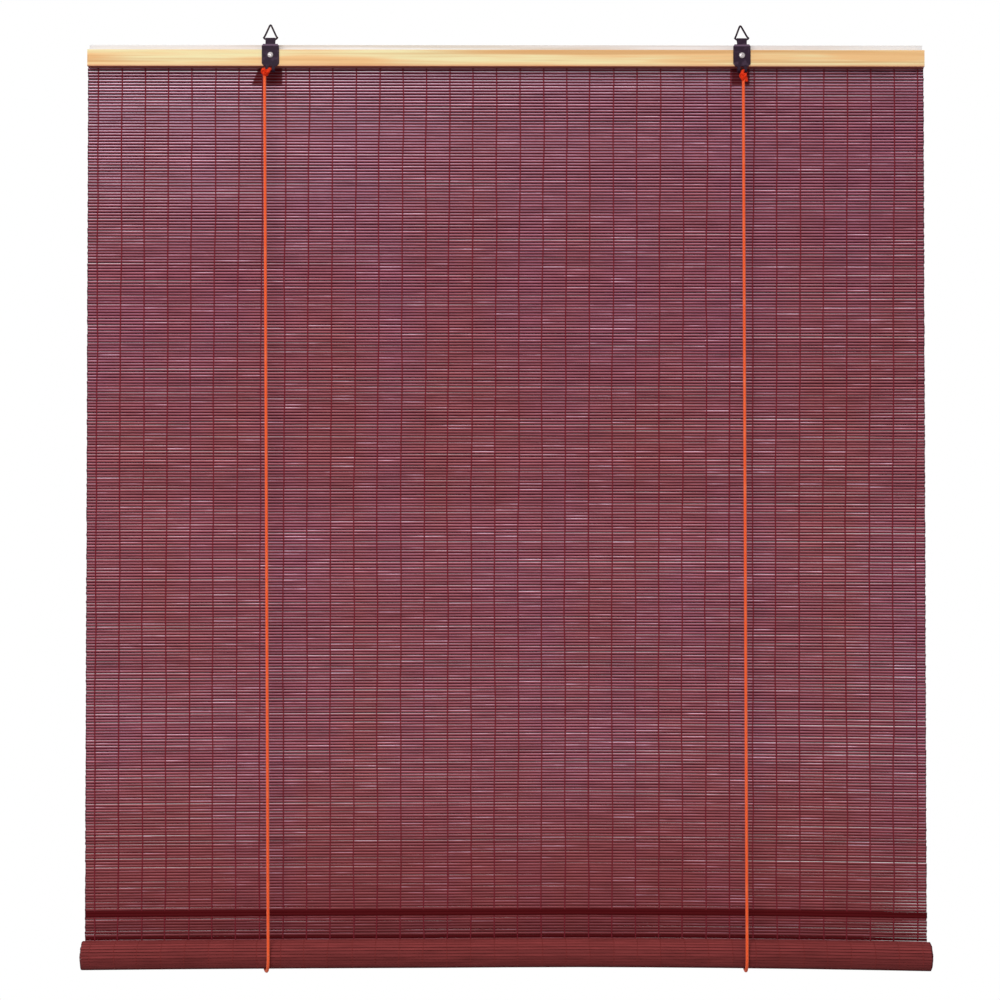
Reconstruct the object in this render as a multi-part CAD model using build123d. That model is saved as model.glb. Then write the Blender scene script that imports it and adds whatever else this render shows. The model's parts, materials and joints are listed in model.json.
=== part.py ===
from build123d import *
import math
import os

os.makedirs("parts", exist_ok=True)

# Shares and turns
half_share = 0.5
double = 2.0
half_turn = 180.0
quarter_turn = 90.0
eighth_turn = 45.0

# Head: a rail in front and a taller batten behind, with the mat's top edge clamped between
blind_width = 1000.0
batten_height = 28.5
mount_drop = 12.5
batten_thickness = 10.0
rail_height = 20.0
rail_thickness = 12.0
wood_edge_radius = 0.8

# Mat of split bamboo: ridges in front, and a see-through gap after every few slats
slat_row_height = 3.49
slat_thickness = 1.8
slat_count = 306
clamp_height = 13.9
closed_slats = 60
slats_per_gap = 3
groove_half_width = 0.55
groove_depth = 0.8
gap_height = 0.9
gap_margin = 7.0
thread_count = 36
thread_inset = 10.0
thread_width = 1.2
thread_thickness = 0.3
thread_clearance = 0.5

# Roll at the bottom: the mat's turns round a rod
roll_radius = 18.0
wrap_gap = 0.4
rod_radius = 5.0
lift_turns = 9

# Staples through batten and mat into the rail
staple_count = 5
staple_inset = 50.0
staple_crown = 10.0
staple_leg = 17.0
staple_wire = 1.2
staple_sink = 0.2
staple_play = 0.05

# Hangers: sheet plates with a rolled loop on top and two hooks below
hanger_spacing = 563.0
sheet = 1.2
plate_half_width = 10.3
plate_top = 13.9
plate_low = -12.7
neck_half_width = 5.9
shoulder_width = 1.6
shoulder_height = 2.2
low_chamfer_width = 2.6
low_chamfer_height = 3.3
loop_height = 19.4
wire_radius = 1.0
bore_play = 0.06
loop_slit = 0.5
prong_offset = 4.0
prong_width = 3.2
hook_radius = 2.1
hook_drop = 4.6
lip_height = 2.6

# Triangular wire rings, each bend in a few short mitres
ring_half_width = 8.6
ring_height = 19.9
ring_corner = 1.6
ring_top_corner = 2.4
bend_pieces = 2

# Hanger screws
screw_height = 0.6
head_radius = 3.85
head_height = 2.0
head_bevel = 0.9
shank_radius = 1.6
shank_length = 10.5
hole_play = 0.1

# Cord guides behind the mat, under the batten, given from their hanger's middle
guide_sheet = 0.8
guide_depth = 8.4
guide_height = 20.2
guide_back = -0.8
right_guide_half_width = 11.4
left_guide_top_left = 16.0
left_guide_top_right = 11.5
left_guide_low_left = 24.6
left_guide_low_right = 13.7
bar_radius = 3.0

# Cords, with a section of flats
cord_radius = 1.8
cord_flats = 8
cord_gap = 0.3
eye_radius = 3.8
eye_lift = 0.5
knot_radius = 4.0
knot_half_length = 5.2
knot_bevel = 1.2
knot_drop = 5.2
left_cord_turn = 10.0
right_cord_turn = 7.0
tail_length = 17.0
stop_half_length = 4.6

# Places that follow from the sizes
rail_bottom = -mount_drop
mat_back = -batten_thickness
mat_front = mat_back - slat_thickness
rail_front = mat_front - rail_thickness
mat_top = rail_bottom + clamp_height
clamped_slats = math.ceil(clamp_height / slat_row_height)
mat_bottom = mat_top - slat_count * slat_row_height
roll_y = mat_back - roll_radius
roll_z = mat_bottom - wrap_gap
plate_front = rail_front - sheet
loop_outer = wire_radius + bore_play + sheet
loop_y = plate_front + loop_outer
hook_y = plate_front - hook_radius
hook_z = plate_low - hook_drop
guide_front = guide_back - guide_depth
guide_y = half_share * (guide_back + guide_front)
guide_low = rail_bottom - guide_height
over_bar = bar_radius + cord_gap + cord_radius
bar_z = rail_bottom - guide_sheet - cord_gap - cord_radius - over_bar


def save(name: str, shape) -> None:
    """Write one node's solids."""
    export_step(shape, os.path.join("parts", name + ".step"))


def profile(points, y: float = 0, z: float = 0) -> Sketch:
    """A face across the blind, from points given as (depth, height)."""
    return Plane.YZ * Pos(y, z) * make_face(Polyline(*points, close=True))


def across(face, width: float) -> Part:
    """Run a cross-section sideways, the same to both hands."""
    return extrude(face, half_share * width, both=True)


def block(x: float, y_low: float, y_high: float, z_low: float, z_high: float, width: float) -> Part:
    """A plain bar between two depths and two heights, centred on x."""
    centre = Pos(x, half_share * (y_low + y_high), half_share * (z_low + z_high))
    return centre * Box(width, y_high - y_low, z_high - z_low)


def is_gap(row: int) -> bool:
    """Whether the line between two slats, counted from the bottom, is open."""
    below_rail = slat_count - clamped_slats - row
    return row > closed_slats and below_rail > 0 and below_rail % slats_per_gap == 0


# Staple places
staple_span = blind_width - double * staple_inset
staple_step = staple_span / (staple_count - 1)
staple_height = rail_bottom + half_share * rail_height
staple_places = [i * staple_step - half_share * staple_span for i in range(staple_count)]


def staple(x: float, play: float) -> Part:
    """A flush staple, or with play the room that it takes in the wood."""
    legs = []
    reach = staple_leg + play
    wire = staple_wire + double * play
    for side in (-half_share, half_share):
        leg_x = x + side * (staple_crown - staple_wire)
        legs.append(block(leg_x, -reach, -staple_sink, staple_height - half_share * wire,
                          staple_height + half_share * wire, wire))
    crown = block(x, -staple_sink - staple_wire - play, -staple_sink, staple_height - half_share * wire,
                  staple_height + half_share * wire, staple_crown + double * play)
    return crown + legs


def staple_room(x: float) -> Part:
    """The staple's room, open to the wall side."""
    mouth = block(x, -staple_sink - staple_wire - staple_play, 0,
                  staple_height - half_share * staple_wire - staple_play,
                  staple_height + half_share * staple_wire + staple_play,
                  staple_crown + double * staple_play)
    return mouth + staple(x, staple_play)


staples = [staple(x, 0) for x in staple_places]
rooms = [staple_room(x) for x in staple_places]
save("rail_staples", Compound(children=[s.solid() for s in staples]))

# Batten and rail
batten = block(0, -batten_thickness, 0, rail_bottom, rail_bottom + batten_height, blind_width)
batten -= rooms
save("back_batten", batten)

rail = block(0, rail_front, mat_front, rail_bottom, rail_bottom + rail_height, blind_width)
rail = fillet(rail.edges().filter_by(Axis.X).group_by(Axis.Y)[0], wood_edge_radius)
hanger_places = {"left": -half_share * hanger_spacing, "right": half_share * hanger_spacing}
pilots = []
for x in hanger_places.values():
    depth = shank_length - sheet + hole_play
    pilots.append(Pos(x, rail_front + half_share * depth, screw_height)
                  * Rot(quarter_turn, 0, 0) * Cylinder(shank_radius + hole_play, depth))
rail -= pilots
rail -= rooms
save("head_rail", rail)

# Mat: one wall with a ridge for every slat, cut through by the open lines
outline = [(mat_back, mat_top), (mat_back, mat_bottom), (mat_front, mat_bottom)]
gap_heights = []
for row in range(1, slat_count):
    z = mat_bottom + row * slat_row_height
    if is_gap(row):
        gap_heights.append(z)
    elif row < slat_count - clamped_slats:
        outline.append((mat_front, z - groove_half_width))
        outline.append((mat_front + groove_depth, z))
        outline.append((mat_front, z + groove_half_width))
outline.append((mat_front, mat_top))
mat = across(profile(outline), blind_width)
gap_length = blind_width - double * gap_margin
mat -= [
    block(0, mat_front - wrap_gap, mat_back + wrap_gap, z - half_share * gap_height,
          z + half_share * gap_height, gap_length)
    for z in gap_heights
]
mat -= rooms
save("hanging_mat", mat)

# Warp threads, front and back, from the rail down to the roll
thread_low = roll_z + half_share * roll_radius
thread_high = rail_bottom - thread_clearance
thread_step = (blind_width - double * thread_inset) / (thread_count - 1)
threads = []
for i in range(thread_count):
    x = thread_inset + i * thread_step - half_share * blind_width
    threads.append(block(x, mat_front - thread_thickness, mat_front, thread_low, thread_high,
                         thread_width))
    threads.append(block(x, mat_back, mat_back + thread_thickness, thread_low, thread_high,
                         thread_width))
save("warp_threads", Compound(children=[t.solid() for t in threads]))

# Roll: the mat goes down behind, under and up in front, turn inside turn, to the rod
turn_step = slat_thickness + wrap_gap
round_angle = double * math.pi
lift_travel = lift_turns * round_angle * (roll_radius - half_share * slat_thickness)


def roll_point(angle: float, radius: float):
    """A point of the roll's section, the angle going from the back edge downwards."""
    return (roll_y + radius * math.cos(angle), roll_z - radius * math.sin(angle))


outer_points = []
inner_points = []
angle = 0.0
wound_slats = 0
radius = roll_radius
while radius - slat_thickness > rod_radius + wrap_gap:
    inner_points.append(roll_point(angle, radius - slat_thickness))
    edge_angle = groove_half_width / radius
    if 0 < angle < round_angle:
        outer_points.append(roll_point(angle - edge_angle, radius))
        outer_points.append(roll_point(angle, radius - groove_depth))
        outer_points.append(roll_point(angle + edge_angle, radius))
    else:
        outer_points.append(roll_point(angle, radius))
    angle += slat_row_height / (radius - half_share * slat_thickness)
    radius = roll_radius - turn_step * angle / round_angle
    wound_slats += 1
inner_points.append(roll_point(angle, radius - slat_thickness))
outer_points.append(roll_point(angle, radius))
rolled = across(profile(outer_points + inner_points[::-1]), blind_width)
save("mat_roll", rolled)
rod = Pos(0, roll_y, roll_z) * Rot(0, quarter_turn, 0) * Cylinder(rod_radius, blind_width)
save("roll_rod", rod)

# Hangers


def hanger_plate(x: float) -> Part:
    """A plate with its neck, its rolled loop and its two cord hooks."""
    low_half = plate_half_width - low_chamfer_width
    right_side = [
        (neck_half_width, loop_height),
        (neck_half_width, plate_top),
        (plate_half_width - shoulder_width, plate_top),
        (plate_half_width, plate_top - shoulder_height),
        (plate_half_width, plate_low + low_chamfer_height),
        (low_half, plate_low),
    ]
    left_side = [(-u, v) for u, v in right_side[::-1]]
    front = Plane((x, rail_front, 0), x_dir=(1, 0, 0), z_dir=(0, -1, 0))
    plate = extrude(front * make_face(Polyline(*right_side, *left_side, close=True)), sheet)
    bore_axis = Pos(x, loop_y, loop_height) * Rot(0, quarter_turn, 0)
    neck_width = double * neck_half_width
    plate += bore_axis * Cylinder(loop_outer, neck_width)
    plate -= bore_axis * Cylinder(wire_radius + bore_play, neck_width)
    slit_reach = double * loop_outer
    plate -= (Pos(x, loop_y, loop_height) * Rot(-eighth_turn, 0, 0)
              * Pos(0, half_share * slit_reach, 0) * Box(neck_width, slit_reach, loop_slit))
    hook_outer = hook_radius + sheet
    bend = Pos(hook_y, hook_z) * (Circle(hook_outer) - Circle(hook_radius))
    bend &= Pos(hook_y, hook_z - hook_outer) * Rectangle(double * hook_outer, double * hook_outer)
    bend += Pos(plate_front + half_share * sheet, half_share * (hook_z + plate_low)) * Rectangle(
        sheet, plate_low - hook_z)
    bend += Pos(hook_y - hook_radius - half_share * sheet, hook_z + half_share * lip_height) * Rectangle(
        sheet, lip_height)
    for side in (-prong_offset, prong_offset):
        plate += Pos(x + side, 0, 0) * across(Plane.YZ * bend, prong_width)
    hole = double * sheet
    plate -= Pos(x, plate_front, screw_height) * Rot(quarter_turn, 0, 0) * Cylinder(
        shank_radius + hole_play, double * hole)
    return plate


def ring_bends():
    """The mitre points of the ring's wire, from its left foot over the top to its right foot."""
    corners = [Vector(-ring_half_width, 0), Vector(0, ring_height), Vector(ring_half_width, 0)]
    bends = [ring_corner, ring_top_corner, ring_corner]
    points = []
    for i, (corner, bend) in enumerate(zip(corners, bends)):
        before = (corners[i - 1] - corner).normalized()
        after = (corners[(i + 1) % len(corners)] - corner).normalized()
        half_angle = half_share * math.acos(before.dot(after))
        centre = corner + (before + after).normalized() * (bend / math.sin(half_angle))
        start = corner + before * (bend / math.tan(half_angle)) - centre
        piece_angle = half_turn / bend_pieces - double * math.degrees(half_angle) / bend_pieces
        reach = bend / math.cos(half_share * math.radians(piece_angle))
        for piece in range(bend_pieces):
            spoke = start.rotate(Axis.Z, -(piece + half_share) * piece_angle)
            points.append(centre + spoke * (reach / bend))
    return points


def hanger_ring(x: float) -> Part:
    """A bent wire triangle whose base runs in the plate's loop."""
    upright = Plane((x, loop_y, loop_height), x_dir=(1, 0, 0), z_dir=(0, -1, 0))
    path = upright * Polyline((0, 0), *ring_bends(), (0, 0))
    section = Plane((x, loop_y, loop_height), x_dir=(0, 1, 0), z_dir=(-1, 0, 0)) * Circle(wire_radius)
    return sweep(section, path=path, transition=Transition.RIGHT)


def hanger_screw(x: float) -> Part:
    """A round-headed screw."""
    head = Pos(0, 0, half_share * head_height) * Cylinder(head_radius, head_height)
    head = chamfer(head.edges().sort_by(Axis.Z)[-1], head_bevel)
    screw = head + Pos(0, 0, -half_share * shank_length) * Cylinder(shank_radius, shank_length)
    return Pos(x, plate_front, screw_height) * Rot(quarter_turn, 0, 0) * screw


for hand, x in hanger_places.items():
    save(hand + "_hanger_plate", hanger_plate(x))
    save(hand + "_hanger_ring", hanger_ring(x))
save("hanger_screws", Compound(children=[hanger_screw(x).solid() for x in hanger_places.values()]))

# Cord guides: a folded sheet with two cheeks
guide_outlines = {
    "left": [
        (-left_guide_top_left, rail_bottom),
        (left_guide_top_right, rail_bottom),
        (left_guide_low_right, guide_low),
        (-left_guide_low_left, guide_low),
    ],
    "right": [
        (-right_guide_half_width, rail_bottom),
        (right_guide_half_width, rail_bottom),
        (right_guide_half_width, guide_low),
        (-right_guide_half_width, guide_low),
    ],
}
room_depth = guide_depth - double * guide_sheet
for hand, corners in guide_outlines.items():
    wall = Plane((hanger_places[hand], guide_back, 0), x_dir=(1, 0, 0), z_dir=(0, -1, 0))
    guide = extrude(wall * make_face(Polyline(*corners, close=True)), guide_depth)
    room_height = double * guide_height
    room_top = rail_bottom - guide_sheet
    guide -= block(hanger_places[hand], guide_y - half_share * room_depth,
                   guide_y + half_share * room_depth, room_top - room_height, room_top,
                   room_height + guide_height)
    save(hand + "_cord_guide", guide)

# Cords: an eye and knot on a hook, a taut run to the roll, a bight under it, and a run up to the guide
flat_angle = math.pi / cord_flats
cord_section = RegularPolygon(cord_radius / math.cos(half_share * flat_angle), cord_flats)
cord_area = cord_section.area


def run(start: Vector, end: Vector, side: Vector) -> Part:
    """A straight piece of cord."""
    return extrude(Plane(start, x_dir=side, z_dir=end - start) * cord_section, (end - start).length)


def knot(place: Vector, half_length: float) -> Part:
    """A plain barrel that stands for a knot."""
    barrel = extrude(RegularPolygon(knot_radius, cord_flats), half_length, both=True)
    barrel = chamfer(barrel.faces().filter_by(Axis.Z).edges(), knot_bevel)
    return Pos(*place) * Rot(0, quarter_turn, 0) * barrel


def tangent(start, centre, radius: float, side: int):
    """Where a taut cord from start meets a round: its place and its angle there, in the cord's plane."""
    reach = Vector(*centre) - Vector(*start)
    lean = math.degrees(math.asin(radius / reach.length))
    heading = reach.normalized().rotate(Axis.Z, side * lean)
    point = Vector(*start) + heading * math.sqrt(reach.length ** double - radius ** double)
    spoke = point - Vector(*centre)
    return point, math.degrees(math.atan2(spoke.Y, spoke.X))


bars = []
bights = []
cords = {
    "left": (hanger_places["left"] - prong_offset, left_cord_turn, 1),
    "right": (hanger_places["right"] + prong_offset, right_cord_turn, -1),
}
for hand, (hook_x, turn, bar_side) in cords.items():
    lean_share = math.cos(math.radians(turn))
    back_way = Vector(-math.sin(math.radians(turn)), lean_share, 0)
    side_way = Vector(lean_share, math.sin(math.radians(turn)), 0)
    sling_radius = roll_radius / lean_share + cord_gap + cord_radius

    def place(point) -> Vector:
        """A point of the cord's own upright plane, in the blind's frame."""
        return Vector(hook_x, hook_y, 0) + back_way * point.X + Vector(0, 0, point.Y)

    eye_z = hook_z + eye_lift - eye_radius
    knot_z = eye_z - knot_drop
    eye_plane = Plane((hook_x + eye_radius, hook_y, eye_z), x_dir=(1, 0, 0), z_dir=(0, 0, 1))
    eye_axis = Axis((hook_x, hook_y, eye_z), (0, -1, 0))
    front = revolve(eye_plane * cord_section, eye_axis, half_turn)
    for side in (-eye_radius, eye_radius):
        leg_top = Vector(hook_x + side, hook_y, eye_z)
        front += run(leg_top, leg_top - Vector(0, 0, knot_drop), Vector(1, 0, 0))
    knot_place = Vector(0, knot_z)
    axle = Vector((roll_y - hook_y) / lean_share, roll_z)
    bar_point = Vector((guide_y - hook_y) / lean_share, bar_z)
    front_point, front_angle = tangent(knot_place, axle, sling_radius, -1)
    back_point, back_angle = tangent(bar_point, axle, sling_radius, 1)
    front += knot(place(knot_place), knot_half_length)
    front += run(place(front_point), place(knot_place), side_way)
    save(hand + "_cord_front", front)

    sling_angle = (back_angle - front_angle) % (double * half_turn)
    down_way = place(front_point) - place(knot_place)
    sling_start = Plane(place(front_point), x_dir=side_way, z_dir=down_way)
    bight = revolve(sling_start * cord_section, Axis(place(axle), side_way), sling_angle)
    bights.append(bight.solid())

    up_way = (place(bar_point) - place(back_point)).normalized()
    over_way = Vector(bar_side, 0, 0)
    over_way = (over_way - up_way * over_way.dot(up_way)).normalized()
    bar_axis = up_way.cross(over_way)
    bar_centre = place(bar_point) + over_way * over_bar
    bar_start = Plane(place(bar_point), x_dir=side_way, z_dir=up_way)
    back = run(place(back_point), place(bar_point), side_way)
    back += revolve(bar_start * cord_section, Axis(bar_centre, bar_axis), half_turn)
    tail_top = bar_centre + over_way * over_bar
    tail_end = tail_top - up_way * tail_length
    tail_side = bar_axis * (double * bar_axis.dot(side_way)) - side_way
    back += run(tail_top, tail_end, tail_side)
    back += knot(tail_end, stop_half_length)
    save(hand + "_cord_back", back)
    bars.append((Pos(bar_centre.X, guide_y, bar_centre.Z) * Rot(quarter_turn, 0, 0)
                 * Cylinder(bar_radius, room_depth)).solid())

    front_length = (place(front_point) - place(knot_place)).length
    rise_length = (place(back_point) - place(bar_point)).length
    sling_length = math.radians(sling_angle) * sling_radius
    print(hand, "front run", round(front_length, 1), "bight", round(sling_length, 1), "back run",
          round(rise_length, 1), "over the bar", round(math.pi * over_bar, 1), "tail", tail_length)
    print(hand, "radii: eye", eye_radius, "bight", round(sling_radius, 2), "bar", over_bar)
    print(hand, "bight volume", round(bights[-1].volume, 1), "section x length",
          round(cord_area * sling_length, 1))
    print(hand, "front", len(front.solids()), round(front.volume, 1), "run alone",
          round(cord_area * front_length, 1))
    print(hand, "back", len(back.solids()), round(back.volume, 1), "run, turn and tail alone",
          round(cord_area * (rise_length + math.pi * over_bar + tail_length), 1))
    print(hand, "bight ends", place(front_point), place(back_point), "bar", bar_centre)
save("cord_bights", Compound(children=bights))
save("guide_bars", Compound(children=bars))

print("open gaps", len(gap_heights), "slats on the roll", wound_slats)
print("roll axis", round(roll_y, 3), round(roll_z, 3), "ring axis", round(loop_y, 3), loop_height)
print("mat on the roll", round(wound_slats * slat_row_height, 1), "lift", round(lift_travel, 2))
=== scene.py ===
"""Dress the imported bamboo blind: slats, threads, roll, cords, wood and hanger metal."""

import json
import logging
import math
from dataclasses import dataclass
from enum import Enum

import bmesh
import bpy
from bmesh.types import BMesh, BMVert
from bpy.types import ID, Material, Mesh, Node, NodeSocket, NodeTree, Object
from mathutils import Matrix, Vector

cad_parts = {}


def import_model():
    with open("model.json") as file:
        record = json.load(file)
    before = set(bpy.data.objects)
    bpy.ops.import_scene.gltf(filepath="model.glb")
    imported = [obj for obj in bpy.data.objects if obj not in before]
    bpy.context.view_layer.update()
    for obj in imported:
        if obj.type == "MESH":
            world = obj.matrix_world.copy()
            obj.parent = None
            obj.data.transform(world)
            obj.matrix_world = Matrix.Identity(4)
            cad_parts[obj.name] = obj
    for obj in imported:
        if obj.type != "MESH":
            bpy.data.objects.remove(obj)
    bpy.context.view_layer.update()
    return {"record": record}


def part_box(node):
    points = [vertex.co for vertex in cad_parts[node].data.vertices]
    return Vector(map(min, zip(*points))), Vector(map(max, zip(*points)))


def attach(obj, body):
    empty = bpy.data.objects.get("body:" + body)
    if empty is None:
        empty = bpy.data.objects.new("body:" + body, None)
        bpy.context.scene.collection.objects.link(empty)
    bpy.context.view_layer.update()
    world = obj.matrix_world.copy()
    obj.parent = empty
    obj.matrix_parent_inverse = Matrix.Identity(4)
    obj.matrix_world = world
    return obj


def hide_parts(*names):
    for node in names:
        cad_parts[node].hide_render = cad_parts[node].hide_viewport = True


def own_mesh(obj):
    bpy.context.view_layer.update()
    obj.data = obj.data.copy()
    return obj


Colour = tuple[float, float, float, float]
Triple = tuple[float, float, float]
Span = tuple[float, float]

LOG = logging.getLogger("bamboo_blind")
MM = 0.001
TURN = 2.0 * math.pi
UNIT: Span = (0.0, 1.0)
WHITE: Colour = (1.0, 1.0, 1.0, 1.0)
# Where most values of a noise lie
NOISE_REACH: Span = (0.2, 0.8)
# A height that no piece reaches, for finishes without painted shade at a lower edge or a painted highlight
# along a bend
NOWHERE = 9.0
# How far each hanger stands from the middle
HANGER_X = 281.5 * MM
# Points that are closer together than this are one, on a thread and on a CAD node
WELD = 0.05 * MM
SEAM = 0.002 * MM
# Faces of a CAD node that meet at less than the first angle are one, and at more than the second are sharp
FLAT = math.radians(2.0)
SHARP = math.radians(40.0)
# Places of the colour and of the number among the outputs of Mix and Random Value nodes
MIXED_COLOUR = 2
RANDOM_NUMBER = 1


def screen(*levels: int) -> Colour:
    """Opaque colour in linear light for red, green and blue on screen, from 0 to 255."""
    shares = [level / 255.0 for level in levels]
    return (*(s / 12.92 if s <= 0.04045 else ((s + 0.055) / 1.055) ** 2.4 for s in shares), 1.0)


def mm(x: float, y: float, z: float) -> Vector:
    """Place or size given in millimetres, as metres."""
    return MM * Vector((x, y, z))


class Hand(Enum):
    """The two hands of the blind, as seen from the room."""

    LEFT = "left"
    RIGHT = "right"


class Face(Enum):
    """The two faces of the mat, as a stitch's turn about the upright."""

    FRONT = math.pi
    BACK = 0.0


class Body(Enum):
    """The moving bodies of the frame."""

    HEAD = "head"
    LEFT_RING = "left_ring"
    RIGHT_RING = "right_ring"
    SLING = "sling"
    ROLL = "roll"


class Ends(Enum):
    """How a row of rings ends where faces join it."""

    CAPPED = "capped"
    OPEN = "open"
    JOINED = "joined"


@dataclass(frozen=True)
class Value:
    """A result in a node tree, which goes into sums as a number does."""

    canvas: "NodeCanvas"
    socket: NodeSocket

    def __add__(self, other: "Value | float") -> "Value":
        """This number plus another."""
        return self.canvas.math("ADD", self, other)

    def __sub__(self, other: "Value | float") -> "Value":
        """This number less another."""
        return self.canvas.math("SUBTRACT", self, other)

    def __rsub__(self, other: float) -> "Value":
        """Another number less this one."""
        return self.canvas.math("SUBTRACT", other, self)

    def __mul__(self, other: "Value | float") -> "Value":
        """This number times another."""
        return self.canvas.math("MULTIPLY", self, other)

    def __truediv__(self, other: "Value | float") -> "Value":
        """This number divided by another."""
        return self.canvas.math("DIVIDE", self, other)

    def __abs__(self) -> "Value":
        """This number without its sign."""
        return self.canvas.math("ABSOLUTE", self)

    def between(self, span: Span, reach: Span = UNIT) -> "Value":
        """This number carried from one span to another and held inside it."""
        ends = {"From Min": span[0], "From Max": span[1], "To Min": reach[0], "To Max": reach[1]}
        return self.canvas.result("ShaderNodeMapRange", {"Value": self, **ends})

    def parts(self) -> tuple["Value", ...]:
        """The three coordinates of this vector."""
        node = self.canvas.add("ShaderNodeSeparateXYZ", {"Vector": self})
        return tuple(Value(self.canvas, socket) for socket in node.outputs)


Number = Value | float


@dataclass(frozen=True)
class Region:
    """A part of the blind where something changes across the width and grows over a span of heights."""

    across: Span
    shares: Span
    down: Span

    def strength(self, x: Value, z: Value) -> Value:
        """How strong it is at a place."""
        return x.between(self.across, self.shares) * z.between(self.down)


class NodeCanvas:
    """A node tree with short ways to add and join its nodes."""

    def __init__(self, tree: NodeTree) -> None:
        """Keep the tree that the nodes go in."""
        self.tree = tree

    def join(self, socket: NodeSocket, value: object) -> None:
        """Give an input its value.

        Args:
            socket: The input.
            value: A constant, or a result that is linked to it.
        """
        if isinstance(value, Value):
            self.tree.links.new(value.socket, socket)
        else:
            socket.default_value = value

    def add(self, kind: str, inputs: dict[str, object] | None = None, **settings: object) -> Node:
        """Add one node.

        Args:
            kind: The node's type name.
            inputs: Constants or results for its inputs, by socket identifier.
            **settings: Attributes of the node itself.

        Returns:
            The new node.
        """
        node = self.tree.nodes.new(kind)
        for name, value in settings.items():
            setattr(node, name, value)
        for identifier, value in (inputs or {}).items():
            self.join(next(s for s in node.inputs if s.identifier == identifier), value)
        return node

    def result(self, kind: str, inputs: dict[str, object] | None = None, output: int | str = 0,
               **settings: object) -> Value:
        """Add one node and take its result.

        Args:
            kind: The node's type name.
            inputs: Constants or results for its inputs, by socket identifier.
            output: Place or name of the output.
            **settings: Attributes of the node itself.

        Returns:
            The node's result.
        """
        return Value(self, self.add(kind, inputs, **settings).outputs[output])

    def math(self, operation: str, first: Number, second: Number = 0.0) -> Value:
        """Result of one sum on one or two numbers."""
        return self.result("ShaderNodeMath", {"Value": first, "Value_001": second}, operation=operation)

    def vector(self, x: Number, y: Number, z: Number) -> Value:
        """Vector from three numbers."""
        return self.result("ShaderNodeCombineXYZ", {"X": x, "Y": y, "Z": z})

    def noise(self, place: Value, detail: float = 2.0, scale: float = 1.0) -> Value:
        """Smooth random number from 0 to 1 at a place."""
        return self.result("ShaderNodeTexNoise", {"Vector": place, "Scale": scale, "Detail": detail})


class Shader(NodeCanvas):
    """A material's nodes round its Principled surface."""

    def __init__(self, name: str) -> None:
        """Start a material.

        Args:
            name: The material's name.
        """
        self.material = bpy.data.materials.new(name)
        self.material.use_nodes = True
        super().__init__(self.material.node_tree)
        self.surface = self.tree.nodes["Principled BSDF"]

    def place(self, scale: Triple = (1.0, 1.0, 1.0)) -> Value:
        """Object coordinates, stretched by a scale for each axis."""
        coordinates = self.result("ShaderNodeTexCoord", output="Object")
        return self.result("ShaderNodeMapping", {"Vector": coordinates, "Scale": scale})

    def attribute(self, name: str) -> Value:
        """Number stored on the mesh under a name."""
        return self.result("ShaderNodeAttribute", output="Fac", attribute_name=name)

    def ramp(self, value: Value, *stops: tuple[float, Colour]) -> Value:
        """Colour read off a row of stops.

        Args:
            value: The place along the row, from 0 to 1.
            *stops: Places and their colours, lowest first.

        Returns:
            The colour.
        """
        node = self.add("ShaderNodeValToRGB", {"Fac": value})
        elements = node.color_ramp.elements
        while len(elements) < len(stops):
            elements.new(1.0)
        for element, (place, colour) in zip(elements, stops):
            element.position = place
            element.color = colour
        return Value(self, node.outputs["Color"])

    def mix(self, share: Number, first: Value | Colour, second: Value | Colour, blend: str = "MIX") -> Value:
        """Two colours mixed by a share."""
        colours = {"Factor_Float": share, "A_Color": first, "B_Color": second}
        return self.result("ShaderNodeMix", colours, MIXED_COLOUR, data_type="RGBA", blend_type=blend)

    def set(self, **values: object) -> None:
        """Set or join the surface's own sockets, given with underscores for spaces."""
        for name, value in values.items():
            self.join(self.surface.inputs[name.replace("_", " ")], value)

    def relief(self, height: Value, strength: float, depth: float) -> None:
        """Give the surface a bump of a depth in metres."""
        bump = {"Height": height, "Strength": strength, "Distance": depth}
        self.set(Normal=self.result("ShaderNodeBump", bump))


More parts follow.
